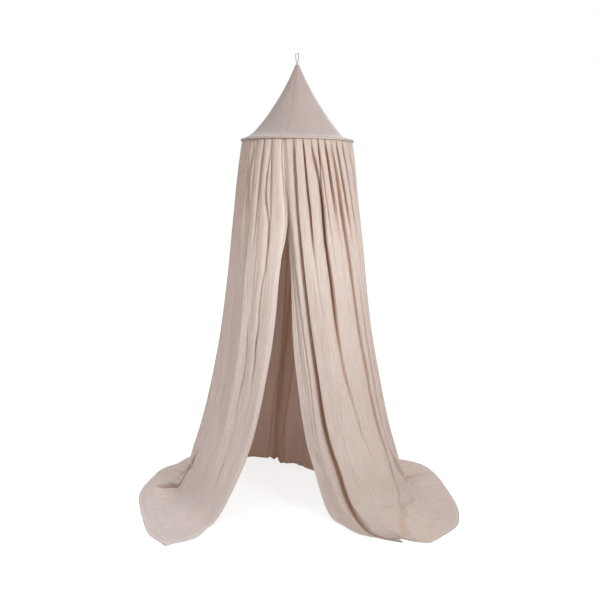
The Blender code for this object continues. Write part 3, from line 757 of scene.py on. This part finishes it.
def fold_depth(relief):
    """0 on the open cloth, 1 deep in a fold: how far each point lies behind the cloth round it."""
    even = np.linspace(0.0, 1.0, EVEN_STEPS)
    window = np.hanning(2 * FOLD_WINDOW + 1)
    depth = np.zeros(relief.shape)
    for j in range(relief.shape[1]):
        level = np.interp(even, shares, relief[:, j])
        padded = np.pad(level, FOLD_WINDOW, mode="edge")
        around = np.convolve(padded, window / window.sum(), mode="valid")
        depth[:, j] = np.interp(shares, even, around - level)
    return ease(depth, FOLD_STARTS, FOLD_DEEP)


EVEN_STEPS = 1400  # about 2.5 mm apart
FOLD_WINDOW = 18  # steps to each side
FOLD_STARTS, FOLD_DEEP = 0.0003, 0.011
# how deep each point lies in a fold, kept for the muslin's painted fold shade
folded = fold_depth(relief)
print("deep in a fold:", round(100 * float((folded > 0.5).mean())), "per cent of the cloth")

bare = bare_cloth(shares, lengths)
skirt_points = bare + outward(bare) * relief[:, :, None]
skirt_points += unit(np.gradient(bare, axis=0)) * sideways[:, :, None]
skirt_points[:, :, 2] = settle(skirt_points[:, :, 2] + lift)
steps = np.linalg.norm(np.diff(skirt_points, axis=0), axis=2)
widths = [round(float(steps[:, j].sum()), 2) for j in (*range(0, ROWS - 1, 20), ROWS - 1)]
print("the cloth is", widths, "m wide on the way down")


# %% Turn the hems under
HEM_TURN = 0.0016  # from the middle of the sheet to the middle of its turned edge
EDGE_TURN = (7, 3, 1)  # columns that a turned front edge covers again
HEM_ROWS = (2, 1)  # rows that the turned hem covers again
normals = outward(skirt_points)
columns = [*EDGE_TURN, *range(COLUMNS), *(COLUMNS - 1 - k for k in reversed(EDGE_TURN))]
behind = [1.0] * len(EDGE_TURN) + [0.0] * COLUMNS + [1.0] * len(EDGE_TURN)
rows = [*range(ROWS), *(ROWS - 1 - k for k in reversed(HEM_ROWS))]
under = [0.0] * ROWS + [1.0] * len(HEM_ROWS)
turn = HEM_TURN * (np.array(behind)[:, None] + np.array(under)[None, :])
hemmed = skirt_points[np.ix_(columns, rows)] - normals[np.ix_(columns, rows)] * turn[:, :, None]
hemmed[:, :, 2] = np.maximum(hemmed[:, :, 2], LOWEST_TURNED)
hemmed_places = np.stack([part[np.ix_(columns, rows)] for part in (across, along, folded)], axis=-1)

skirt = grid_piece("skirt_muslin", hemmed, hemmed_places)
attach(skirt, "root")
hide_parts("skirt")

# %% [markdown]
# ## The crown
#
# The crown is a cone of smooth cotton, cut as a part of a round and closed by one seam, a little left of
# the front. Its own weight and the hoop's pull it into a hollow curve, like a tent. A turned outline gives
# that curve, and a seam, the pull lines from the tip and a slight flutter above the hoop are added to it.

# %% Shape the crown
CROWN_PROFILE = (
    # radius, height above the hoop, m
    (0.2440, 0.0054), (0.2250, 0.0110), (0.2040, 0.0220), (0.1755, 0.0510), (0.1410, 0.0930),
    (0.1075, 0.1410), (0.0735, 0.1940), (0.0425, 0.2490), (0.0215, 0.2920), (0.0120, 0.3140),
    (0.0080, 0.3230),
)
CROWN_TIP = 0.3270
LEAN = (
    # height above the hoop, how much lower for each metre to the right
    (0.0, HOOP_LEAN), (0.006, HOOP_LEAN), (0.022, 0.030), (0.060, 0.026), (0.140, 0.020),
    (0.327, 0.0),
)
SEAM_BEARING = 13.0  # degrees from the front towards the left
SEAM_STITCH = -0.003  # the stitch line beside the seam's ridge, m
SEAM_RIDGE, SEAM_RIDGE_WIDE = 0.0011, 0.0022  # the allowances inside lift the cloth along the seam
SEAM_DIP, SEAM_DIP_WIDE, SEAM_DIP_AWAY = 0.0009, 0.0035, 0.0065  # and it dips beside them
PULL_LINE, PULL_SIZE = 0.0011, (1 / 22, 0.30)  # high, and wide (share of the round) and long, m
CROWN_TURNS, CROWN_RINGS = 240, 90
CROWN_WEAVE_RADIUS = 0.16  # the round at which the crown's places are a metre for a metre


def leaned(points):
    """The points, each lower by its distance to the right times the lean at its height."""
    heights, leans = zip(*LEAN)
    points = points.copy()
    points[..., 2] -= points[..., 0] * np.interp(points[..., 2] - HOOP_Z, heights, leans)
    return points


def side_by_side(*parts):
    """Arrays that share rows and columns as the numbers of each point."""
    return np.stack(np.broadcast_arrays(*parts), axis=-1)


def round_points(radii, turns, heights):
    """Points round the middle, from the front towards the left."""
    return side_by_side(-radii * np.sin(turns)[:, None], -radii * np.cos(turns)[:, None], heights)


profile = np.array(CROWN_PROFILE)
run = way_along(profile)
down = np.linspace(0.0, run[-1], CROWN_RINGS)
radius = smooth_line(run, profile[:, 0], down, level=True)
height = smooth_line(run, profile[:, 1], down, level=True)
turns = np.linspace(0.0, 2 * math.pi, CROWN_TURNS, endpoint=False)
seam = math.radians(SEAM_BEARING)
from_seam = (turns[:, None] - seam + math.pi) % (2 * math.pi) - math.pi
seam_distance = from_seam * radius[None, :]
ridge = SEAM_RIDGE * np.exp(-((seam_distance / SEAM_RIDGE_WIDE) ** 2))
ridge -= SEAM_DIP * np.exp(-(((np.abs(seam_distance) - SEAM_DIP_AWAY) / SEAM_DIP_WIDE) ** 2))
pull = PULL_LINE * uneven(41, turns[:, None] / (2 * math.pi), down[None, :], *PULL_SIZE)
pull = pull * np.sin(math.pi * np.clip(down / run[-1], 0, 1))[None, :]
radii = radius[None, :] + ridge + pull
crown_points = round_points(radii, turns, HOOP_Z + height[None, :])
stitch = np.abs(seam_distance - SEAM_STITCH)
crown_places = side_by_side(turns[:, None] * CROWN_WEAVE_RADIUS, down[None, :], stitch)
crown = grid_piece("crown_cotton", leaned(crown_points), crown_places, closed_across=True)
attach(crown, "root")
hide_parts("crown")

# %% [markdown]
# ## The casing
#
# A strip of cotton is folded round the rod and caught in the seam with the crown above and the gathers
# below. It is a thin tube of cloth, slightly puckered where each gather pulls on it, and its two long edges
# meet on the inner side, where they are sewn down.

# %% Wrap the casing round the hoop
CASING_STEPS, CASING_SIDES = 720, 15
CASING_SLIT = 12.0  # degrees between the strip's two edges
CASING_SHRINK, CASING_PUCKER = 0.0002, 0.00045  # the cloth lies in a little, and its puckers stand out
turns = np.linspace(0.0, 2 * math.pi, CASING_STEPS, endpoint=False)
half_turn = math.radians(180.0 - CASING_SLIT / 2)
sides = np.linspace(-half_turn, half_turn, CASING_SIDES)
ring_length = (turns * HOOP_RADIUS)[:, None]
# one pucker to each gather, and slower waves
pucker = uneven(51, ring_length, sides[None, :], 0.006, 1.6)
pucker += 0.5 * uneven(52, ring_length, sides[None, :], 0.02, 2.0)
tube = CASING_RADIUS - CASING_SHRINK + CASING_PUCKER * pucker
out = HOOP_RADIUS + tube * np.cos(sides)[None, :]
casing_points = round_points(out, turns, HOOP_Z + tube * np.sin(sides)[None, :])
casing_places = side_by_side(ring_length, (sides * CASING_RADIUS)[None, :])
casing = grid_piece("casing_cotton", leaned(casing_points), casing_places, closed_across=True)
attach(casing, "root")
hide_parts("hoop_casing")

# %% [markdown]
# ## The tape loop
#
# A narrow woven tape is folded double and sewn into the tip of the crown. The weight of the canopy pulls
# it into a slim eye round the hook.

# %% Fold the tape loop
TAPE_WIDTH = 0.008
TAPE_THICKNESS = 0.0013
TAPE_EDGE = 0.5  # the share of its thickness that the tape loses towards its woven edges
LOOP_WIDTH = 0.0125
LOOP_TURN = 24.0  # degrees from facing the front
LOOP_STRAND = ((0.0010, -0.004), (0.0011, 0.0012), (0.0024, 0.006), (0.0056, 0.016))  # from the tip up
BEND_STEPS, LOOP_STEPS = 12, 96

foot = HOOP_Z + CROWN_TIP
half_width = LOOP_WIDTH / 2
bend = TAPE_THICKNESS / 2 - half_width
path = [(-x, foot + z) for x, z in LOOP_STRAND]
for k in range(BEND_STEPS + 1):
    turn_angle = math.pi * (1 - k / BEND_STEPS)
    path.append((half_width * math.cos(turn_angle), bend + half_width * math.sin(turn_angle)))
path += [(x, foot + z) for x, z in reversed(LOOP_STRAND)]
path = np.array(path)
knots = way_along(path)
fine = np.linspace(0.0, knots[-1], LOOP_STEPS)
path = np.column_stack([smooth_line(knots, path[:, k], fine) for k in range(2)])
run = np.gradient(path, axis=0)
side = np.column_stack((-run[:, 1], run[:, 0])) / np.linalg.norm(run, axis=1)[:, None]
over = np.linspace(-1, 1, 9)
face, over = np.repeat([1.0, -1.0], len(over)), np.concatenate((over, over[::-1]))
out_by, deep = TAPE_THICKNESS / 2 * face * (1 - TAPE_EDGE * np.abs(over) ** 6), TAPE_WIDTH / 2 * over
x = path[:, :1] + out_by * side[:, :1]
z = path[:, 1:] + out_by * side[:, 1:]
angle = math.radians(LOOP_TURN)
loop_points = side_by_side(
    x * math.cos(angle) - deep * math.sin(angle), x * math.sin(angle) + deep * math.cos(angle), z
)
loop_places = side_by_side(deep, fine[:, None])
loop = grid_piece("hanging_tape", loop_points, loop_places, closed_along=True)
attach(loop, "root")
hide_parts("hanging_loop")

# %% [markdown]
# ## Finishes
#
# Each finish is built from shader nodes. A small class adds a node and fills its sockets, so that each
# finish reads as a short list of what it is made of. A finish of cloth also knows its place on the flat
# cloth, so that threads, streaks and stitches follow the weave.


# %% Start a finish
class Nodes:
    """The node tree of a material or of the world. Its methods add nodes and give back an output."""

    def __init__(self, owner):
        owner.use_nodes = True
        self.owner, self.tree = owner, owner.node_tree

    def fill(self, socket, value):
        """A socket takes another node's output, a number or a colour."""
        if isinstance(value, bpy.types.NodeSocket):
            self.tree.links.new(value, socket)
        elif socket.type == "RGBA":
            socket.default_value = (*value, 1.0)
        else:
            socket.default_value = value

    def add(self, kind, *inputs, output=0, **named):
        """Inputs go in by order or by Name. A name in small letters is a setting of the node."""
        made = self.tree.nodes.new("ShaderNode" + kind)
        for key in [key for key in named if key.islower()]:
            setattr(made, key, named.pop(key))
        for key, value in [*enumerate(inputs), *named.items()]:
            self.fill(made.inputs[key.replace("_", " ") if isinstance(key, str) else key], value)
        return made.outputs if output is None else made.outputs[output]

    def math(self, operation, first, second=0.0):
        return self.add("Math", first, second, operation=operation)

    def fade(self, value, near, far, at_near, at_far, way="SMOOTHSTEP"):
        """Goes from one amount to another as the value rises from near to far."""
        sizes = {"From_Min": near, "From_Max": far, "To_Min": at_near, "To_Max": at_far}
        return self.add("MapRange", interpolation_type=way, Value=value, **sizes)

    def blend(self, share, first, second):
        """The first colour, with so large a share of the second mixed in."""
        mix = self.tree.nodes.new("ShaderNodeMix")
        mix.data_type = "RGBA"
        for k, value in ((0, share), (6, first), (7, second)):
            self.fill(mix.inputs[k], value)
        return mix.outputs[2]

    def tint(self, mask, share, colour, tint):
        """The colour with a share of the tint in it where the mask is 1."""
        return self.blend(self.math("MULTIPLY", mask, share), colour, tint)

    def end(self, surface, seen=None):
        """The last shader. What the camera sees itself may differ from what lights the cloth."""
        if seen is not None:
            by_camera = self.add("LightPath", output="Is Camera Ray")
            surface = self.add("MixShader", by_camera, surface, seen)
        ends = [n for n in self.tree.nodes if n.type.startswith("OUTPUT")]
        self.fill(ends[0].inputs["Surface"], surface)


class Finish(Nodes):
    """A material with a Principled shader whose steady values are set on its own sockets."""

    def __init__(self, name, roughness, sheen=0.0, sheen_roughness=0.5, specular=0.25, metallic=0.0):
        super().__init__(bpy.data.materials.new(name))
        self.shader = self.tree.nodes["Principled BSDF"]
        steady = (roughness, sheen, sheen_roughness, specular, metallic)
        names = ("Roughness", "Sheen Weight", "Sheen Roughness", "Specular IOR Level", "Metallic")
        for socket, value in zip(names, steady):
            self.shader.inputs[socket].default_value = value
        self.normal = None

    def colour(self, colour):
        self.fill(self.shader.inputs["Base Color"], colour)

    def bump(self, height, distance):
        """Fine relief of the given height, laid over what was there before."""
        before = {} if self.normal is None else {"Normal": self.normal}
        self.normal = self.add("Bump", Strength=1.0, Distance=distance, Height=height, **before)
        self.fill(self.shader.inputs["Normal"], self.normal)


print("helpers for finishes are ready")


# %% Threads, crinkle and stitches
STITCH_INSET, STITCH_THICK, STITCH_STEP = 0.0025, 0.0009, 0.0036  # m
STITCH_FILLS = 0.7  # the share of each step that the thread shows


class Cloth(Finish):
    """A finish that follows the threads: it reads the place on the flat cloth, in metres."""

    def __init__(self, *name_and_values, **values):
        super().__init__(*name_and_values, **values)
        self.place = self.add("Attribute", attribute_name="cloth_place", output="Vector")
        self.u, self.v, self.extra = self.add("SeparateXYZ", self.place, output=None)

    def streaks(self, wide, long, detail=2.0, roughness=0.5):
        """Noise that is drawn out along the cloth's length."""
        scaled = self.add("VectorMath", self.place, (1 / wide, 1 / long, 1.0), operation="MULTIPLY")
        values = {"Scale": 1.0, "Detail": detail, "Roughness": roughness}
        return self.add("TexNoise", noise_dimensions="2D", Vector=scaled, **values)

    def weave(self, pitch, relief):
        """Plain weave: threads that go over and under by turns."""
        turns = [self.math("MULTIPLY", way, 2 * math.pi / pitch) for way in (self.u, self.v)]
        self.bump(self.math("MULTIPLY", *[self.math("SINE", turn) for turn in turns]), relief)

    def stitch_row(self, from_edge, along_edge, band_width):
        """1 on the stitches that hold a hem down, a little inside its fold."""
        from_line = self.math("SUBTRACT", from_edge, band_width - STITCH_INSET)
        on_line = self.math("LESS_THAN", self.math("ABSOLUTE", from_line), STITCH_THICK / 2)
        step = self.math("FRACT", self.math("DIVIDE", along_edge, STITCH_STEP))
        return self.math("MULTIPLY", on_line, self.math("LESS_THAN", step, STITCH_FILLS))


print("helpers for threads are ready")

# %% [markdown]
# ### Crinkled muslin
#
# The skirt's muslin is thin and matt, a dusty beige pink. Fine streaks run with the warp, in tones that
# differ at random, and the same streaks make the crinkle's bumps, so each small crinkle is lighter on its
# back and darker in its dip as painted light and shade; short crepe marks lie between them. A little light
# comes through the cloth, which warms the folds, so part of the shader is translucent. Deep in the folds a
# darker, warmer colour is painted in as shade, and just below the casing the cloth is darkened with
# painted shade that fades further down. Where the hems lie double the cloth is paler, and a row of small
# stitches runs along the inner edge of each hem.

# %% Finish the muslin
# the dark tone is random tone and also painted shade in the crinkles' dips
MUSLIN_LIGHT, MUSLIN_DARK_TONE_AND_DIP_SHADE = (0.780, 0.685, 0.630), (0.655, 0.535, 0.462)
MUSLIN_PATCH, PATCH_SHARE = (0.700, 0.600, 0.555), 0.25
# painted shade: the darker, warmer colour put deep in the skirt's folds, and how much of it
MUSLIN_FOLD_SHADE, FOLD_SHADE_SHARE = (0.650, 0.440, 0.315), 0.8
# painted shade: the colour that darkens the skirt just below the casing, and how much of it
MUSLIN_TOP_SHADE, TOP_SHADE_SHARE = (0.560, 0.440, 0.370), 0.45  # beside the casing
TOP_SHADE_FADE = (0.18, 0.52)  # m below the hoop
MUSLIN_DOUBLE, DOUBLE_SHARE = (0.830, 0.740, 0.680), 0.45  # in the hems
STITCH_SHADE, STITCH_SHARE = (0.400, 0.290, 0.230), 0.8
MUSLIN_THROUGH, THROUGH_TINT = (0.700, 0.360, 0.220), 0.6  # what comes through is warmer
THROUGH_SHARE = 0.15
RIGHT_HEM_BAND = 0.014
FOOT_HEM_BAND = 0.020
STREAKS = (
    # how wide and long, m, with how much detail and how rough
    (0.0085, 0.13, 2.0, 0.5), (0.0032, 0.030, 3.0, 0.6), (0.0040, 0.0060, 2.0, 0.5),
)
STREAK_SHARES = (0.35, 0.40, 0.25)
STREAK_RELIEF = (0.0034, 0.0018, 0.0007)
TONE_RANGE = (0.36, 0.62)  # the tones that become the deep and the light colour
PATCHES = (0.10, 0.30)
THREAD_PITCH, THREAD_RELIEF = 0.0016, 0.00012

muslin = Cloth("crinkled_muslin", 0.92, sheen=0.12, sheen_roughness=0.6, specular=0.12)
layers = [muslin.streaks(*sizes) for sizes in STREAKS]  # broad, fine and the crepe marks
parts = [muslin.math("MULTIPLY", layer, share) for layer, share in zip(layers, STREAK_SHARES)]
tone = muslin.math("ADD", muslin.math("ADD", *parts[:2]), parts[2])
# the streaks that bump the cloth also set its colour: random tone, plus painted shade in each dip and
# painted light on each back
contrast = muslin.fade(tone, *TONE_RANGE, 0.0, 1.0, way="LINEAR")
colour = muslin.blend(contrast, MUSLIN_DARK_TONE_AND_DIP_SHADE, MUSLIN_LIGHT)
colour = muslin.tint(muslin.streaks(*PATCHES), PATCH_SHARE, colour, MUSLIN_PATCH)
# painted shade below the casing, fading out between 0.18 and 0.52 m down
painted_top_shade = muslin.fade(muslin.v, *TOP_SHADE_FADE, TOP_SHADE_SHARE, 0.0)
colour = muslin.blend(painted_top_shade, colour, MUSLIN_TOP_SHADE)
# painted shade: deep in a fold the muslin is drawn towards a darker, warmer colour
fold_shade_mask = muslin.extra
colour = muslin.tint(fold_shade_mask, FOLD_SHADE_SHARE, colour, MUSLIN_FOLD_SHADE)
from_right = muslin.math("SUBTRACT", SKIRT_WIDTH, muslin.u)
from_foot = muslin.math("SUBTRACT", SKIRT_LENGTH, muslin.v)
band, stitches = 0.0, 0.0
for from_edge, along_edge, band_width in (
    (muslin.u, muslin.v, HEM_BAND),
    (from_right, muslin.v, RIGHT_HEM_BAND),
    (from_foot, muslin.u, FOOT_HEM_BAND),
):
    band = muslin.math("MAXIMUM", band, muslin.math("LESS_THAN", from_edge, band_width))
    row = muslin.stitch_row(from_edge, along_edge, band_width)
    stitches = muslin.math("MAXIMUM", stitches, row)
colour = muslin.tint(band, DOUBLE_SHARE, colour, MUSLIN_DOUBLE)
colour = muslin.tint(stitches, STITCH_SHARE, colour, STITCH_SHADE)
muslin.colour(colour)
for layer, height in zip(layers, STREAK_RELIEF):
    muslin.bump(layer, height)
warm = muslin.blend(THROUGH_TINT, colour, MUSLIN_THROUGH)
through = muslin.add("BsdfTranslucent", Color=warm, Normal=muslin.normal)
muslin.weave(THREAD_PITCH, THREAD_RELIEF)
muslin.end(muslin.add("MixShader", THROUGH_SHARE, muslin.shader.outputs[0], through))
skirt.data.materials.append(muslin.owner)
print("the muslin's finish has", len(muslin.tree.nodes), "nodes")

# %% [markdown]
# ### Smooth cotton, tape and steel
#
# The crown's cotton is closely woven and smooth, a greyer pink, with no crinkle. It is darker along the
# seam's stitches, where three layers meet, and beside the casing it is darkened with painted shade. The
# casing is paler, because it is stretched over the rod, and the tape paler still. Both are plain woven from
# uneven threads. The rod is plain drawn steel, which only shows where the casing is taken off.

# %% Finish the crown
COTTON, COTTON_PALE = (0.328, 0.264, 0.238), (0.376, 0.310, 0.284)
# one dark colour for the seam's layers and for the painted shade beside the casing
COTTON_SEAM_AND_SHADE = (0.200, 0.140, 0.115)  # where it lies double or threefold
SLUBS, CLOUDS = (0.0015, 0.03), (0.06, 0.12)  # how wide and long the streaks are, m
SLUB_RELIEF, COTTON_PITCH, COTTON_RELIEF = 0.00025, 0.0009, 0.00008
SEAM_LINE, SEAM_SHARE = 0.0022, 0.75  # m to each side of the stitch line
HOOP_SHADE, HOOP_SHARE = (0.006, 0.032), 0.85  # m from the casing

cotton = Cloth("smooth_cotton", 0.55, sheen=0.70, sheen_roughness=0.40, specular=0.50)
slubs = cotton.streaks(*SLUBS)
halves = [cotton.math("MULTIPLY", layer, 0.5) for layer in (slubs, cotton.streaks(*CLOUDS))]
colour = cotton.blend(cotton.math("ADD", *halves), COTTON, COTTON_PALE)
from_stitches = cotton.extra
beside_seam = cotton.fade(from_stitches, 0.0, SEAM_LINE, SEAM_SHARE, 0.0)
colour = cotton.blend(beside_seam, colour, COTTON_SEAM_AND_SHADE)
# painted shade: the crown darkens towards the casing
painted_hoop_shade = cotton.fade(cotton.v, *HOOP_SHADE, HOOP_SHARE, 0.0)
cotton.colour(cotton.blend(painted_hoop_shade, colour, COTTON_SEAM_AND_SHADE))
cotton.bump(slubs, SLUB_RELIEF)
cotton.weave(COTTON_PITCH, COTTON_RELIEF)
crown.data.materials.append(cotton.owner)
print("the cotton's finish has", len(cotton.tree.nodes), "nodes")

# %% Finish the casing, the tape and the hoop
WOVEN = (
    # piece, finish, deep and pale colour, how wide the uneven threads are and the pitch, m
    (casing, "casing_cotton", (0.30, 0.24, 0.205), (0.60, 0.50, 0.45), 0.006, 0.0009),
    (loop, "tape", (0.42, 0.37, 0.34), (0.58, 0.52, 0.48), 0.0015, 0.0011),
)
UNEVEN_RELIEF, WOVEN_RELIEF = 0.0003, 0.0001
STEEL_DEEP, STEEL_PALE = (0.50, 0.50, 0.49), (0.70, 0.70, 0.68)
STEEL_GRAIN, STEEL_RELIEF = 220.0, 0.0001
for piece, name, deep_colour, pale_colour, wide, pitch in WOVEN:
    woven = Cloth(name, 0.85, sheen=0.2, specular=0.2)
    threads = woven.streaks(wide, 4 * wide)
    woven.colour(woven.blend(threads, deep_colour, pale_colour))
    woven.bump(threads, UNEVEN_RELIEF)
    woven.weave(pitch, WOVEN_RELIEF)
    piece.data.materials.append(woven.owner)

steel = Finish("hoop_steel", 0.38, specular=0.5, metallic=1.0)
position = steel.add("TexCoord", output="Object")
drawn = steel.add("TexNoise", Vector=position, Scale=STEEL_GRAIN, Detail=3.0)
steel.colour(steel.blend(drawn, STEEL_DEEP, STEEL_PALE))
steel.bump(drawn, STEEL_RELIEF)
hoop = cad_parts["hoop"]
hoop.data.materials.clear()
hoop.data.materials.append(steel.owner)
print("finished:", [piece.name for piece in (skirt, crown, casing, loop, hoop)])

# %% [markdown]
# ## What each cloth was cut to
#
# The skirt is a plain rectangle, gathered. The crown is a part of a round. The casing is a narrow strip
# folded round the rod.

print("the skirt, the crown and the casing are cut from flat cloth")

# %% [markdown]
# ## Floor and light
#
# The studio is plain: a wide pale floor that runs into white, and even light from all round. One soft box
# at the right front, at about the height of the crown, models the folds. A weak one at the left front keeps
# the shaded side warm, a small cool one lights the cloth that lies at the left, and one behind shows the
# back to a viewer who walks round. The floor and the surroundings are shown to the camera a little brighter
# than they light the cloth, as with a white backdrop that has lamps of its own.

# %% Build the studio
bpy.context.scene.view_settings.view_transform = "Standard"
FLOOR_HALF = 12.0
FLOOR_WHITE, FLOOR_SHOWN = (0.90, 0.90, 0.90), (0.40, 0.42, 0.43)
PAPER_WHITE = (1.0, 1.0, 1.0)
BACKDROP_LAMPS = ((1.5, 0.79), (7.0, 0.84))  # distance from the canopy, m, and strength
ROOM_WALLS = (1.0, 0.88, 0.84)
ROOM_CEILING = (1.0, 0.97, 0.97)
WALL_LIGHT, CEILING_LIGHT = 0.42, 0.88
CEILING_FROM = 0.9  # how steeply a look goes up before it meets only ceiling: 0 level, 1 straight up
SOFT_BOXES = (
    # name, place, what it looks at, size in m, spread in degrees, power in W, colour
    ("key", (1.76, -2.43, 0.05), (0.0, 0.0, -0.36), 0.9, 95.0, 20.4, (0.97, 1.0, 1.02)),
    ("side", (-1.5, -2.5, 0.4), (0.0, -0.2, -0.60), 1.2, 52.0, 1.9, (1.0, 0.97, 0.95)),
    ("foot", (-0.95, -1.0, 0.6), (-0.65, -0.3, -2.05), 0.6, 40.0, 1.10, (0.74, 0.94, 1.16)),
    ("back", (0.8, 2.9, 0.1), (0.0, 0.2, -0.9), 1.2, 95.0, 6.0, (1.0, 0.98, 0.96)),
)

floor_mesh = bpy.data.meshes.new("floor")
corners = [(x * FLOOR_HALF, y * FLOOR_HALF, FLOOR) for x, y in ((-1, -1), (1, -1), (1, 1), (-1, 1))]
floor_mesh.from_pydata(corners, [], [(0, 1, 2, 3)])
floor = bpy.data.objects.new("floor", floor_mesh)
bpy.context.scene.collection.objects.link(floor)
pale = Finish("pale_floor", 0.9, specular=0.05)
pale.colour(FLOOR_WHITE)
spot = pale.add("TexCoord", output="Object")
from_middle = pale.add("VectorMath", spot, operation="LENGTH", output="Value")
(near, near_lamps), (far, far_lamps) = BACKDROP_LAMPS
strength = pale.fade(from_middle, near, far, near_lamps, far_lamps)
lamps = pale.add("Emission", Strength=strength)
matt = pale.add("BsdfDiffuse", Color=FLOOR_SHOWN)
pale.end(pale.shader.outputs[0], seen=pale.add("AddShader", matt, lamps))
floor_mesh.materials.append(pale.owner)
floor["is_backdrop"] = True

world = bpy.data.worlds.new("studio")
sky = Nodes(world)
height = sky.add("SeparateXYZ", sky.add("TexCoord", output="Generated"), output=2)
upward = sky.fade(height, 0.0, CEILING_FROM, 0.0, 1.0)
light = sky.fade(height, 0.0, CEILING_FROM, WALL_LIGHT, CEILING_LIGHT)
room = sky.add("Background", Color=sky.blend(upward, ROOM_WALLS, ROOM_CEILING), Strength=light)
paper = sky.tree.nodes["Background"]
sky.fill(paper.inputs["Color"], PAPER_WHITE)
sky.end(room, seen=paper.outputs[0])
bpy.context.scene.world = world


def soft_box(name, place, aim, size, spread, power, colour):
    """A square lamp at place that looks at aim and isn't seen itself."""
    data = bpy.data.lights.new(name, "AREA")
    data.shape, data.size, data.spread = "SQUARE", size, math.radians(spread)
    data.energy, data.color = power, colour
    lamp = bpy.data.objects.new(name, data)
    lamp.location = place
    look = mathutils.Vector(aim) - mathutils.Vector(place)
    lamp.rotation_euler = look.to_track_quat("-Z", "Y").to_euler()
    lamp.visible_camera = False
    bpy.context.scene.collection.objects.link(lamp)


for box in SOFT_BOXES:
    soft_box(*box)
print("studio ready")

# %% [markdown]
# ## Finish
#
# The dressed canopy's size is measured and printed.

# %% Measure the dressed canopy
low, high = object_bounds()
print("the dressed canopy is", [round((high - low)[k], 3) for k in range(3)], "m")
